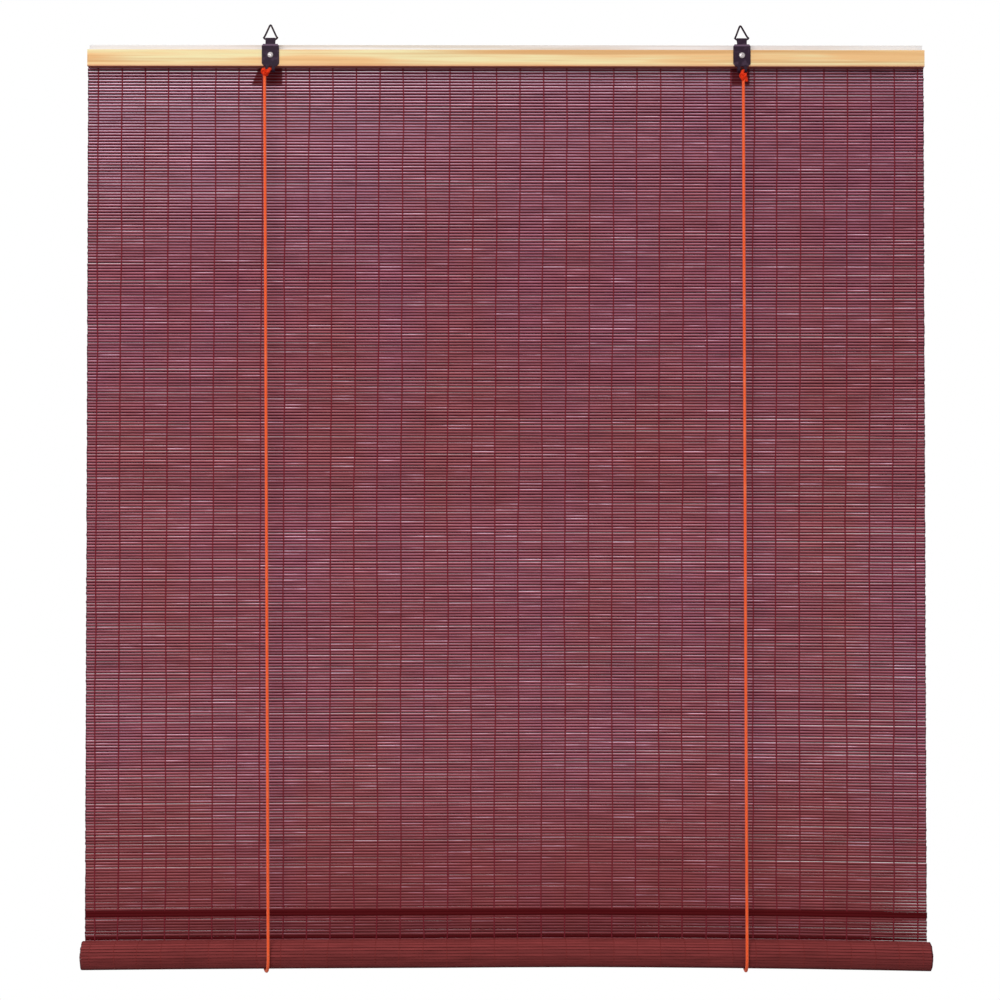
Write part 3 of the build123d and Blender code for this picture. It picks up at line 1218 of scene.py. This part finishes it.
@dataclass(frozen=True)
class BambooMat:
    """The hanging mat: slats laid row under row, bound by warp threads.

    Values that are named after rows are shares of all rows.
    """

    finishes: Finishes
    slat: Slat
    warp: Warp
    bend: RollBend
    rows: SlatRows = SlatRows()
    middle_y: float = -10.9 * MM
    top_gap_rows: float = 0.07
    top_gap_share: float = 0.04
    left_gap: Region = Region((-0.45, 0.3), (0.025, 0.0), (-0.22, -0.02))
    right_gap: Region = Region((0.44, 0.50), (0.0, 0.07), (-0.95, -1.02))
    spark_share: float = 0.05
    spark_span: Span = (0.60, 0.76)
    spark_scale: float = 1.6
    spark_step: float = 0.83
    spark_layer: float = 9.0
    uneven_height: float = 0.006
    uneven_place: float = 0.04 * MM
    uneven_end: float = 0.35 * MM
    lean: float = 0.03
    tilt: float = 0.0002
    bow: float = 0.5 * MM
    bow_length: float = 130.0 * MM
    bow_step: float = 0.61
    bend_rows: float = 0.4
    # The band's slats are taller and set forward, and its deep colour is painted shade
    band_middle: float = -1022.0 * MM
    band_half: float = 3.6 * MM
    band_rise: float = 1.0 * MM
    band_share: float = 0.16
    shadow_middle: float = -1050.0 * MM
    shadow_half: float = 1.72 * MM
    # Painted shade on the lower rows, and the lowest rows darker still
    low_shade: float = 0.12
    low_rows: Span = (0.82, 0.93)
    foot_darkening: float = 0.2
    foot_rows: Span = (0.955, 0.965)
    # The painted sheen fades to this share over these rows, towards the bottom
    low_painted_sheen: float = 0.45
    painted_sheen_rows: Span = (0.78, 0.95)
    full_dark: float = 0.9
    thread_lean: Region = Region((-0.5, 0.5), (1.0 * MM, 4.2 * MM), (-0.6, -0.05))
    thread_waves: float = 7.0
    seed: int = 7

    def near(self, height: Value, middle: float, half: float) -> Value:
        """1 for rows within half a width of a height, and 0 for the rest."""
        return height.canvas.math("LESS_THAN", abs(height - middle), half)

    def slats(self, name: str, first: int, end: int) -> Object:
        """Some rows of slats as one mesh.

        Args:
            name: The piece's name.
            first: The first row.
            end: The row after the last one.

        Returns:
            The slats in their places.
        """
        tree = GeometryTree(name)
        row = tree.index() + float(first)
        height = self.rows.height(tree, row)
        band = self.near(height, self.band_middle, self.band_half)
        shadow = self.near(height, self.shadow_middle, self.shadow_half)
        gap = row.between(self.rows.span(0.0, self.top_gap_rows), (self.top_gap_share, 0.0))
        tall = (1.0 - gap) * self.rows.pitch(row) / self.slat.height
        tall = tall + tree.random(-self.uneven_height, self.uneven_height, self.seed + 1)
        tall = tall + band * self.band_share
        jitter = tree.random(-self.uneven_place, self.uneven_place, self.seed)
        place = tree.vector(tree.random(-self.uneven_end, self.uneven_end, self.seed + 2),
                            self.middle_y - band * self.band_rise, height + jitter)
        points = tree.points(tree.count("Slats", end - first), place)
        turn = tree.vector(tree.random(-self.lean, self.lean, self.seed + 4),
                           tree.random(-self.tilt, self.tilt, self.seed + 3), 0.0)
        placed = tree.instances(points, tree.shape("Slat", self.slat.template()), turn, tall)
        # Deep colour share of each row: painted shade on the lower rows, the lowest rows darker, and painted
        # shade on the band and the shadow row
        band_and_shade = row.between(self.rows.span(*self.low_rows), (0.0, self.low_shade))
        band_and_shade = band_and_shade + row.between(self.rows.span(*self.foot_rows), (0.0, self.foot_darkening))
        band_and_shade = tree.math("MAXIMUM", band_and_shade, tree.math("MAXIMUM", band, shadow))
        # Share of painted sheen on each row
        wax = row.between(self.rows.span(*self.painted_sheen_rows), (1.0, self.low_painted_sheen))
        placed = tree.store(placed, band=band_and_shade, tone=tree.random(0.0, 1.0, self.seed + 6), wax=wax, row=row,
                            middle=height)
        return tree.piece(self.waved(tree, tree.realize(placed)), self.finishes.bamboo)

    def waved(self, tree: GeometryTree, solid: Value) -> Value:
        """Slats with the waves and widths that split bamboo has along its length.

        Args:
            tree: The mat's tree.
            solid: The straight slats.

        Returns:
            The slats, bowed and unevenly wide.
        """
        x, _, z = tree.place()
        row = tree.named("row")
        along = x / tree.number("Bow length", self.bow_length)
        wave = tree.noise(tree.vector(along, row * self.bow_step, 0.0)) - 0.5
        wave = wave * tree.number("Bow", self.bow)
        seat = tree.vector(along, row * self.spark_step, self.spark_layer)
        spark = tree.noise(seat, scale=self.spark_scale).between(self.spark_span, (0.0, self.spark_share))
        spark = spark * tree.math("LESS_THAN", tree.named("band"), self.full_dark)
        gaps = self.left_gap.strength(x, z) + self.right_gap.strength(x, z)
        width = 0.0 - (spark + gaps)
        bend = self.bend.rise(x) * row.between(self.rows.span(self.bend_rows, 1.0))
        return tree.shift(solid, z=(z - tree.named("middle")) * width + (wave + bend))

    def thread_rows(self, face: Face) -> Object:
        """All warp threads on one face of the hanging mat as one mesh.

        Args:
            face: The face of the mat.

        Returns:
            The threads in their places.
        """
        tree = GeometryTree("threads_" + face.name.lower())
        count, row, column, x = self.warp.grid(tree, self.rows.hanging)
        place = tree.vector(x, tree.number("Middle", self.middle_y), self.rows.height(tree, row))
        pitch = 0.5 * (self.rows.top_pitch + self.rows.low_pitch)
        stitch = tree.shape("Stitch", self.warp.stitch.template(pitch))
        turn = tree.vector(0.0, 0.0, face.value)
        placed = tree.instances(tree.points(count, place), stitch, turn, self.rows.pitch(row) / pitch)
        solid = tree.realize(tree.store(placed, column=column))
        x, _, z = tree.place()
        sway = self.warp.sway(tree, z * self.thread_waves)
        moved = tree.shift(solid, x=sway + self.thread_lean.strength(x, z))
        return close_ends(tree.piece(tree.weld(moved), self.finishes.thread))

    def build(self, lift: float) -> None:
        """Make the hanging mat.

        Args:
            lift: The roll's travel, in metres.
        """
        keep = 1.0 - lift / self.rows.depth(self.rows.hanging)
        slats = self.slats("hanging_slats", -self.rows.clamped, self.rows.hanging)
        front = self.thread_rows(Face.FRONT)
        back = self.thread_rows(Face.BACK)
        settle(slats, Body.HEAD, "bamboo", "hanging_mat")
        settle(front, Body.HEAD, "thread", "warp_threads")
        settle(back, Body.HEAD, "thread", "warp_threads")
        for piece in (slats, front, back):
            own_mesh(piece)
        settle(self.slats("run_on_slats", self.rows.hanging, self.rows.rows), Body.SLING, "bamboo")


@dataclass(frozen=True)
class MatRoll:
    """The rolled part of the mat, turn inside turn round its rod."""

    finishes: Finishes
    slat: Slat
    warp: Warp
    bend: RollBend
    centre_y: float = -28.0 * MM
    centre_z: float = -1066.94 * MM
    outer_radius: float = 18.0 * MM
    turn_step: float = 2.2 * MM
    half_thickness: float = 0.9 * MM
    pitch: float = 3.49 * MM
    wound: int = 104
    outer_slats: int = 35
    telescope: float = 0.5 * MM
    # Slats near this angle, at the roll's underside, get painted shade
    under_angle: float = 1.93
    under_half: float = 0.21
    under_shade: float = 0.7
    uneven_end: float = 0.35 * MM
    lean: float = 0.04
    swing: float = 0.0003
    overlap: float = 1.16
    stitch_overlap: float = 1.05
    thread_waves: float = 0.05
    rod_radius: float = 5.0 * MM
    rod_sides: int = 32
    rod_pieces: int = 24
    seed: int = 41

    def spiral(self, tree: GeometryTree, row: Value) -> tuple[Value, Value, Value]:
        """Angle from the back downwards, and the place, of a slat on the spiral.

        Args:
            tree: The tree that needs it.
            row: The slat's number from the outside.

        Returns:
            Angle, depth and height.
        """
        outer = tree.number("Outer middle radius", self.outer_radius - self.half_thickness)
        shrink = tree.number("Shrink", self.turn_step / TURN)
        way = row * tree.number("Pitch", self.pitch)
        radius = tree.math("SQRT", outer * outer - way * shrink * 2.0)
        angle = (outer - radius) / shrink
        y = radius * tree.math("COSINE", angle) + self.centre_y
        return angle, y, self.centre_z - radius * tree.math("SINE", angle)

    def bent(self, tree: GeometryTree, solid: Value) -> Value:
        """Geometry bent as the roll hangs in its cords."""
        return tree.shift(solid, z=self.bend.rise(tree.place()[0]))

    def slats(self) -> Object:
        """All slats of the roll as one mesh.

        Returns:
            The slats in their places.
        """
        tree = GeometryTree("roll_slats")
        angle, y, z = self.spiral(tree, tree.index())
        x = angle / TURN * tree.number("Telescope", self.telescope)
        x = x + tree.random(-self.uneven_end, self.uneven_end, self.seed)
        points = tree.points(tree.count("Slats", self.wound), tree.vector(x, y, z))
        turn = tree.vector(tree.random(-self.lean, self.lean, self.seed + 1) - angle, 0.0,
                           tree.random(-self.swing, self.swing, self.seed + 2))
        placed = tree.instances(points, tree.shape("Slat", self.slat.template()), turn,
                                tree.random(1.0, self.overlap, self.seed + 3))
        # Painted shade on the slats at the roll's underside
        under = tree.math("LESS_THAN", abs(angle - self.under_angle), self.under_half)
        placed = tree.store(placed, tone=tree.random(0.0, 1.0, self.seed + 4), wax=0.0,
                            band=under * self.under_shade)
        return tree.piece(self.bent(tree, tree.realize(placed)), self.finishes.bamboo)

    def thread_rows(self) -> Object:
        """The warp threads on the roll's outer turn as one mesh.

        Returns:
            The threads in their places.
        """
        tree = GeometryTree("roll_threads")
        count, row, column, x = self.warp.grid(tree, self.outer_slats)
        angle, y, z = self.spiral(tree, row)
        stitch = tree.shape("Stitch", self.warp.stitch.template(self.pitch))
        points = tree.points(count, tree.vector(x, y, z))
        placed = tree.instances(points, stitch, tree.vector(angle * -1.0, 0.0, 0.0), self.stitch_overlap)
        solid = tree.realize(tree.store(placed, column=column, row=row))
        moved = tree.shift(solid, x=self.warp.sway(tree, tree.named("row") * self.thread_waves))
        return close_ends(tree.piece(tree.weld(self.bent(tree, moved)), self.finishes.roll_thread))

    def rod(self) -> Object:
        """The round rod in the middle of the roll, bent with it.

        Returns:
            The rod in its place.
        """
        tree = GeometryTree("rod")
        low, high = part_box("roll_rod")
        bar = tree.result("GeometryNodeMeshCylinder", {
            "Vertices": tree.count("Sides", self.rod_sides),
            "Side Segments": tree.count("Pieces", self.rod_pieces),
            "Radius": tree.number("Radius", self.rod_radius),
            "Depth": tree.number("Length", high.x - low.x)})
        laid = tree.result("GeometryNodeTransform", {
            "Geometry": bar,
            "Translation": (0.0, self.centre_y, self.centre_z),
            "Rotation": (0.0, 0.25 * TURN, 0.0)})
        return tree.piece(self.bent(tree, laid), self.finishes.rod_wood)

    def build(self) -> None:
        """Make the roll, its threads and its rod."""
        settle(self.slats(), Body.ROLL, "bamboo", "mat_roll")
        settle(self.thread_rows(), Body.ROLL, "thread")
        settle(self.rod(), Body.ROLL, "rod_wood", "roll_rod")


@dataclass(frozen=True)
class CordSling:
    """One lifting cord: tied to its hook, down in front, under the roll and up behind to its guide."""

    hand: Hand
    finishes: Finishes
    knot: Vector
    knot_size: Vector
    eye: tuple[Vector, ...]
    start: Vector
    middle: Vector
    front: Vector
    back: Vector
    back_middle: Vector
    bar: Vector
    bar_side: float
    stub: tuple[Vector, ...] = ()
    stop_size: Vector = mm(1.0, 1.0, 1.0)
    over_bar: float = 5.1 * MM
    tail: float = 9.0 * MM
    radius: float = 1.8 * MM
    bight_drop: float = 20.4 * MM
    run_steps: int = 580
    bight_steps: int = 28
    turn_steps: int = 14
    eye_steps: int = 10
    stub_steps: int = 8
    knot_steps: int = 4
    knot_points: int = 18
    knot_depth: float = 1.3
    braid_share: float = 0.98
    braid_pitch: float = 4.4 * MM

    @property
    def tube(self) -> Tube:
        """The braided cord."""
        radius = self.braid_share * self.radius
        return Tube(radius, sides=16, strands=4, relief=0.14, pitch=self.braid_pitch)

    def piece(self, part: str, material: Material, *lines: list[Vector],
              closed: bool = False) -> Object:
        """Braided piece of this cord.

        Args:
            part: Which part of the cord it is.
            material: Its finish.
            *lines: The lines that it follows.
            closed: Whether the lines join their own starts.

        Returns:
            The piece.
        """
        shape = bmesh.new()
        for line in lines:
            self.tube.add_to(shape, line, closed)
        item = shape_object(f"{self.hand.value}_cord_{part}", shape, smooth=True)
        dress(item, material)
        return item

    def knot_line(self, place: Vector, size: Vector) -> list[Vector]:
        """Line of a pulled-tight overhand knot, which is a trefoil.

        Args:
            place: Its middle.
            size: Its size along each axis.

        Returns:
            The points of the closed line.
        """
        route = []
        for i in range(self.knot_points):
            t = TURN * i / self.knot_points
            way = Vector((math.sin(t) + 2.0 * math.sin(2.0 * t), -self.knot_depth * math.sin(3.0 * t),
                          math.cos(t) - 2.0 * math.cos(2.0 * t)))
            route.append(place + way * size)
        return spline_points(route, self.knot_steps, closed=True)

    def build(self, lift: float) -> None:
        """Args:
            lift: The roll's travel, in metres.
        """
        hand = self.hand.value
        cord = self.finishes.cord
        tied = self.finishes.cord_knot
        drop = Vector((0.0, 0.0, -self.bight_drop))
        over = Vector((self.bar_side * 2.0 * self.over_bar, 0.0, 0.0))
        rise = Vector((0.0, 0.0, self.over_bar))
        tail_end = self.bar + over - Vector((0.0, 0.0, self.tail))
        turn_route = [self.bar, self.bar + rise, self.bar + over + rise, self.bar + over, tail_end]
        bight_route = [self.front, self.front + drop, self.back + drop, self.back]
        front_line = spline_points([self.start, self.middle, self.front], self.run_steps)
        bight_line = spline_points(bight_route, self.bight_steps)
        back_line = spline_points([self.back, self.back_middle, self.bar], self.run_steps)
        turn_line = spline_points(turn_route, self.turn_steps)
        eye_lines = [spline_points(list(self.eye), self.eye_steps)]
        if self.stub:
            eye_lines.append(spline_points(list(self.stub), self.stub_steps))

        knot = self.piece("knot", tied, self.knot_line(self.knot, self.knot_size), closed=True)
        eye = self.piece("eye", tied, *eye_lines)
        stop = self.piece("stop_knot", tied, self.knot_line(tail_end, self.stop_size), closed=True)
        front = self.piece("front_run", cord, front_line)
        bight = self.piece("bight", cord, bight_line)
        back = self.piece("back_run", cord, back_line)
        turn = self.piece("guide_turn", cord, turn_line)
        settle(front, Body.HEAD, "cord", hand + "_cord_front")
        settle(bight, Body.SLING, "cord", "cord_bights")
        settle(back, Body.HEAD, "cord", hand + "_cord_back")
        for piece in (knot, eye, stop, turn):
            settle(piece, Body.HEAD, "cord")
        for piece, line in ((front, front_line), (back, back_line)):
            keep = 1.0 - lift / abs(line[0].z - line[-1].z)
            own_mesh(piece)


@dataclass(frozen=True)
class Hanger:
    """One hanger: a black plate on the rail and its wire ring."""

    hand: Hand
    finishes: Finishes
    middle_x: float
    ring_height: float
    lean: float = 0.0
    loop_y: float = -22.74 * MM
    loop_z: float = 19.4 * MM
    ring_half_width: float = 8.6 * MM
    corner_reach: float = 2.4 * MM
    top_reach: float = 6.2 * MM
    corner_rise: float = 2.8 * MM
    wire_radius: float = 1.1 * MM
    wire_sides: int = 14
    wire_steps: int = 8
    plate_rounding: float = 0.22 * MM

    def ring(self) -> Object:
        """Triangle of bent wire with its base in the plate's loop.

        Returns:
            The ring.
        """
        corners = [Vector((self.middle_x - self.ring_half_width, self.loop_y, self.loop_z)),
                   Vector((self.middle_x + self.lean, self.loop_y, self.loop_z + self.ring_height)),
                   Vector((self.middle_x + self.ring_half_width, self.loop_y, self.loop_z))]
        bends = ((self.corner_reach, self.corner_rise), (self.top_reach, 0.0),
                 (self.corner_reach, self.corner_rise))
        route = []
        for i, (corner, (reach, rise)) in enumerate(zip(corners, bends)):
            before = (corners[i - 1] - corner).normalized()
            after = (corners[(i + 1) % 3] - corner).normalized()
            peak = corner + Vector((0.0, 0.0, rise))
            route.extend([corner + before * reach, peak, corner + after * reach])
        shape = bmesh.new()
        line = spline_points(route, self.wire_steps, closed=True)
        Tube(radius=self.wire_radius, sides=self.wire_sides).add_to(shape, line, closed=True)
        item = shape_object(self.hand.value + "_ring", shape, smooth=True)
        dress(item, self.finishes.ring_wire)
        return item

    def build(self) -> None:
        """Make the plate with softened edges, and the ring."""
        hand = self.hand.value
        plate = softened(hand + "_plate", hand + "_hanger_plate", self.plate_rounding)
        dress(plate, self.finishes.black_metal)
        settle(plate, Body.HEAD, "black_metal", hand + "_hanger_plate")
        settle(self.ring(), Body(hand + "_ring"), "ring_wire", hand + "_hanger_ring")


@dataclass(frozen=True)
class HangerScrews:
    """The two round-headed screws, each with a cross recess."""

    finishes: Finishes
    places: Span = (-HANGER_X, HANGER_X)
    turns: Span = (0.5, 1.2)
    plate_front: float = -25.0 * MM
    height: float = 0.6 * MM
    head_radius: float = 3.6 * MM
    head_rise: float = 2.0 * MM
    head_skirt: float = 0.25
    head_steps: int = 7
    shank_radius: float = 1.6 * MM
    shank_length: float = 10.5 * MM
    point_length: float = 2.0 * MM
    recess_reach: float = 2.2 * MM
    recess_half_width: float = 0.5 * MM
    recess_depth: float = 1.1 * MM
    recess_taper: float = 0.6
    recess_overrun: float = 1.0 * MM
    sides: int = 40

    def outline(self) -> list[Span]:
        """Half of the screw's outline, from the top of its head to its point.

        Returns:
            Radius and depth of each point.
        """
        dome = 1.0 - self.head_skirt
        points = [(0.0, -self.head_rise)]
        for i in range(1, self.head_steps + 1):
            angle = 0.25 * TURN * i / self.head_steps
            points.append((self.head_radius * math.sin(angle),
                           -self.head_skirt * self.head_rise - dome * self.head_rise * math.cos(angle)))
        shoulder = self.shank_length - self.point_length
        return points + [(self.head_radius, 0.0), (self.shank_radius, 0.0),
                         (self.shank_radius, shoulder), (0.0, self.shank_length)]

    def turned(self) -> Object:
        """Screw turned from its outline, its axis along Y at the origin.

        Returns:
            The screw without its recess.
        """
        shape = bmesh.new()
        rings = []
        for radius, y in self.outline():
            ring = []
            for k in range(self.sides if radius else 1):
                angle = TURN * k / self.sides
                ring.append(shape.verts.new((radius * math.cos(angle), y, radius * math.sin(angle))))
            rings.append(ring)
        for first, second in zip(rings, rings[1:]):
            for k in range(self.sides):
                after = (k + 1) % self.sides
                around = [first[k % len(first)], first[after % len(first)],
                          second[after % len(second)], second[k % len(second)]]
                shape.faces.new(dict.fromkeys(around))
        bmesh.ops.recalc_face_normals(shape, faces=shape.faces[:])
        return shape_object("screw_blank", shape)

    def recess(self) -> Object:
        """Cross that is cut into the head, at the origin.

        Returns:
            The cross.
        """
        shape = bmesh.new()
        levels = ((-self.head_rise - self.recess_overrun, 1.0),
                  (-self.head_rise + self.recess_depth, self.recess_taper))
        for turn in (0.0, 0.25 * TURN):
            rings = []
            for y, share in levels:
                ring = []
                for x, z in ((-1, -1), (1, -1), (1, 1), (-1, 1)):
                    corner = Vector((x * self.recess_reach * share, y, z * self.recess_half_width * share))
                    ring.append(Matrix.Rotation(turn, 3, "Y") @ corner)
                rings.append(ring)
            prism(shape, rings)
        return shape_object("screw_recess", shape)

    def build(self) -> None:
        """Make both screws as one piece."""
        blank = self.turned()
        cross = self.recess()
        cut = blank.modifiers.new("recess", "BOOLEAN")
        cut.object = cross
        cut.operation = "DIFFERENCE"
        cut.use_self = True
        mesh = plain_mesh("screw", blank)
        bpy.data.objects.remove(cross)
        shape = bmesh.new()
        for x, turn in zip(self.places, self.turns):
            copy = mesh.copy()
            seat = Matrix.Translation((x, self.plate_front, self.height))
            copy.transform(seat @ Matrix.Rotation(turn, 4, "Y"))
            shape.from_mesh(copy)
            bpy.data.meshes.remove(copy)
        item = shape_object("screws", shape)
        dress(item, self.finishes.zinc)
        settle(item, Body.HEAD, "zinc", "hanger_screws")


@dataclass(frozen=True)
class HeadWood:
    """The rail and batten with the staples that hold them, and the cord guides under them."""

    finishes: Finishes

    def build(self) -> None:
        """Dress the CAD nodes of the head."""
        looks = {
            "head_rail": self.finishes.pine,
            "back_batten": self.finishes.pale_wood,
            "rail_staples": self.finishes.staple_wire,
            "left_cord_guide": self.finishes.guide_metal,
            "right_cord_guide": self.finishes.guide_metal,
            "guide_bars": self.finishes.zinc,
        }
        for node, material in looks.items():
            dress(bpy.data.objects[node], material)
            LOG.info("%s: dressed", node)


@dataclass(frozen=True)
class Studio:
    """Plain pale floor, soft light and the camera."""

    floor_height: float = -2.05
    floor_size: float = 9.0
    floor_grey: Colour = (0.3, 0.3, 0.3, 1.0)
    floor_roughness: float = 0.9
    sky_light: float = 0.8
    ground_light: float = 0.1
    sky_span: Span = (-0.6, 0.8)
    key_power: float = 126.0
    key_place: Triple = (-1.3, -4.2, 1.4)
    key_size: float = 2.6
    aim: Triple = (0.0, 0.0, -0.5)
    camera_place: Triple = (-0.01797, -2.48909, -0.57608)
    camera_rise: float = 1.058
    camera_turn: float = -0.244
    lens: float = 74.62
    sensor: float = 36.0

    def show_white(self, canvas: NodeCanvas, lit: Node, glow: str, way_out: Node) -> None:
        """Let rays that show the background itself see white, and the rest the lit surface.

        Args:
            canvas: The tree of the world or the floor.
            lit: The node that lights the object.
            glow: Type name of the node that glows white.
            way_out: The tree's output node.
        """
        path = canvas.add("ShaderNodeLightPath").outputs
        seen = Value(canvas, path["Is Camera Ray"])
        for name in ("Is Glossy Ray", "Is Transmission Ray"):
            seen = canvas.math("MAXIMUM", seen, Value(canvas, path[name]))
        white = canvas.result(glow, {"Color": WHITE, "Strength": 1.0})
        mix = canvas.add("ShaderNodeMixShader", {"Fac": seen})
        canvas.join(mix.inputs[1], Value(canvas, lit.outputs[0]))
        canvas.join(mix.inputs[2], white)
        canvas.join(way_out.inputs["Surface"], Value(canvas, mix.outputs[0]))

    def world(self) -> None:
        """White behind everything, and a soft light that is stronger from above."""
        world = bpy.data.worlds.new("studio")
        bpy.context.scene.world = world
        world.use_nodes = True
        canvas = NodeCanvas(world.node_tree)
        light = canvas.tree.nodes["Background"]
        light.inputs["Color"].default_value = WHITE
        up = canvas.result("ShaderNodeTexCoord", output="Generated").parts()[2]
        canvas.join(light.inputs["Strength"], up.between(self.sky_span, (self.ground_light, self.sky_light)))
        self.show_white(canvas, light, "ShaderNodeBackground", canvas.tree.nodes["World Output"])

    def floor(self) -> None:
        """Pale floor well below the blind."""
        shape = bmesh.new()
        bmesh.ops.create_grid(shape, x_segments=1, y_segments=1, size=0.5 * self.floor_size)
        bmesh.ops.translate(shape, verts=shape.verts[:], vec=(0.0, 0.0, self.floor_height))
        floor = shape_object("floor", shape)
        shader = Shader("floor_white")
        shader.set(Base_Color=self.floor_grey, Roughness=self.floor_roughness)
        self.show_white(shader, shader.surface, "ShaderNodeEmission", shader.tree.nodes["Material Output"])
        dress(floor, shader.material)

    def lamp(self) -> None:
        """One large soft lamp above and in front."""
        light = bpy.data.lights.new("key", "AREA")
        light.energy = self.key_power
        light.size = self.key_size
        lamp = scene_object("key", light)
        lamp.location = self.key_place
        way = Vector(self.aim) - Vector(self.key_place)
        lamp.rotation_euler = way.to_track_quat("-Z", "Y").to_euler()

    def camera(self) -> None:
        """Camera in front of the blind, a little below its middle."""
        lens = bpy.data.cameras.new("front")
        lens.sensor_width = self.sensor
        lens.lens = self.lens
        camera = scene_object("front", lens)
        camera.location = self.camera_place
        camera.rotation_euler = (math.radians(90.0 + self.camera_rise), 0.0, math.radians(self.camera_turn))
        bpy.context.scene.camera = camera

    def build(self) -> None:
        """Set up the whole studio."""
        self.world()
        self.floor()
        self.lamp()
        self.camera()
        bpy.context.scene.view_settings.view_transform = "Standard"


def slings(finishes: Finishes) -> tuple[CordSling, CordSling]:
    """The left and the right lifting cord, along their routes.

    Args:
        finishes: The blind's finishes.

    Returns:
        Both cords.
    """
    left = CordSling(
        Hand.LEFT, finishes, knot=mm(-286.4, -34.4, -22.4), knot_size=mm(1.5, 1.2, 1.1),
        eye=(mm(-288.4, -34.2, -21.4), mm(-290.0, -31.8, -18.8), mm(-289.6, -27.0, -16.9),
             mm(-281.4, -27.0, -16.9), mm(-281.0, -31.8, -18.2), mm(-284.0, -34.2, -20.6)),
        start=mm(-287.3, -34.0, -24.0), middle=mm(-283.2, -40.8, -544.0), front=mm(-279.4, -48.06, -1066.5),
        back=mm(-288.88, -7.93, -1067.0), back_middle=mm(-289.1, -6.4, -543.0), bar=mm(-289.40, -5.0, -20.5),
        bar_side=1.0)
    right = CordSling(
        Hand.RIGHT, finishes, knot=mm(281.7, -34.2, -26.8), knot_size=mm(1.1, 1.2, 1.35),
        eye=(mm(281.8, -33.6, -25.0), mm(281.2, -31.2, -21.6), mm(281.6, -27.0, -18.6),
             mm(286.4, -27.0, -18.6), mm(285.8, -23.6, -21.6), mm(283.6, -30.6, -25.6)),
        start=mm(282.1, -33.8, -27.0), middle=mm(282.0, -40.7, -545.0), front=mm(282.5, -48.08, -1066.5),
        back=mm(283.14, -7.92, -1067.0), back_middle=mm(283.0, -6.4, -543.0), bar=mm(282.79, -5.0, -20.5),
        bar_side=-1.0,
        stub=(mm(283.4, -34.2, -26.0), mm(285.8, -34.6, -28.6), mm(285.8, -34.2, -33.0)))
    return left, right


def main() -> None:
    """Build every sub-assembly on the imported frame."""
    logging.basicConfig(level=logging.INFO, format="%(message)s")
    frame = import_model()
    joints = {joint["name"]: joint for joint in frame["record"]["behaviour"]["joints"]}
    lift = joints["roll_lift"]["range_m"][1]
    LOG.info("roll travel %.5f m", lift)
    Studio().build()
    finishes = Finishes()
    for sling in slings(finishes):
        sling.build(lift)
    slat = Slat()
    bend = RollBend()
    flat_stitch = Stitch(half_width=0.6 * MM, half_depth=0.3 * MM, crown=0.9 * MM)
    BambooMat(finishes, slat, Warp(Stitch(), wander=5.0 * MM, layer=0.0), bend).build(lift)
    MatRoll(finishes, slat, Warp(flat_stitch, wander=7.0 * MM, layer=5.0), bend).build()
    HeadWood(finishes).build()
    Hanger(Hand.LEFT, finishes, middle_x=-HANGER_X, ring_height=18.7 * MM).build()
    Hanger(Hand.RIGHT, finishes, middle_x=HANGER_X, ring_height=18.2 * MM, lean=-1.8 * MM).build()
    HangerScrews(finishes).build()


if __name__ == "__main__":
    main()
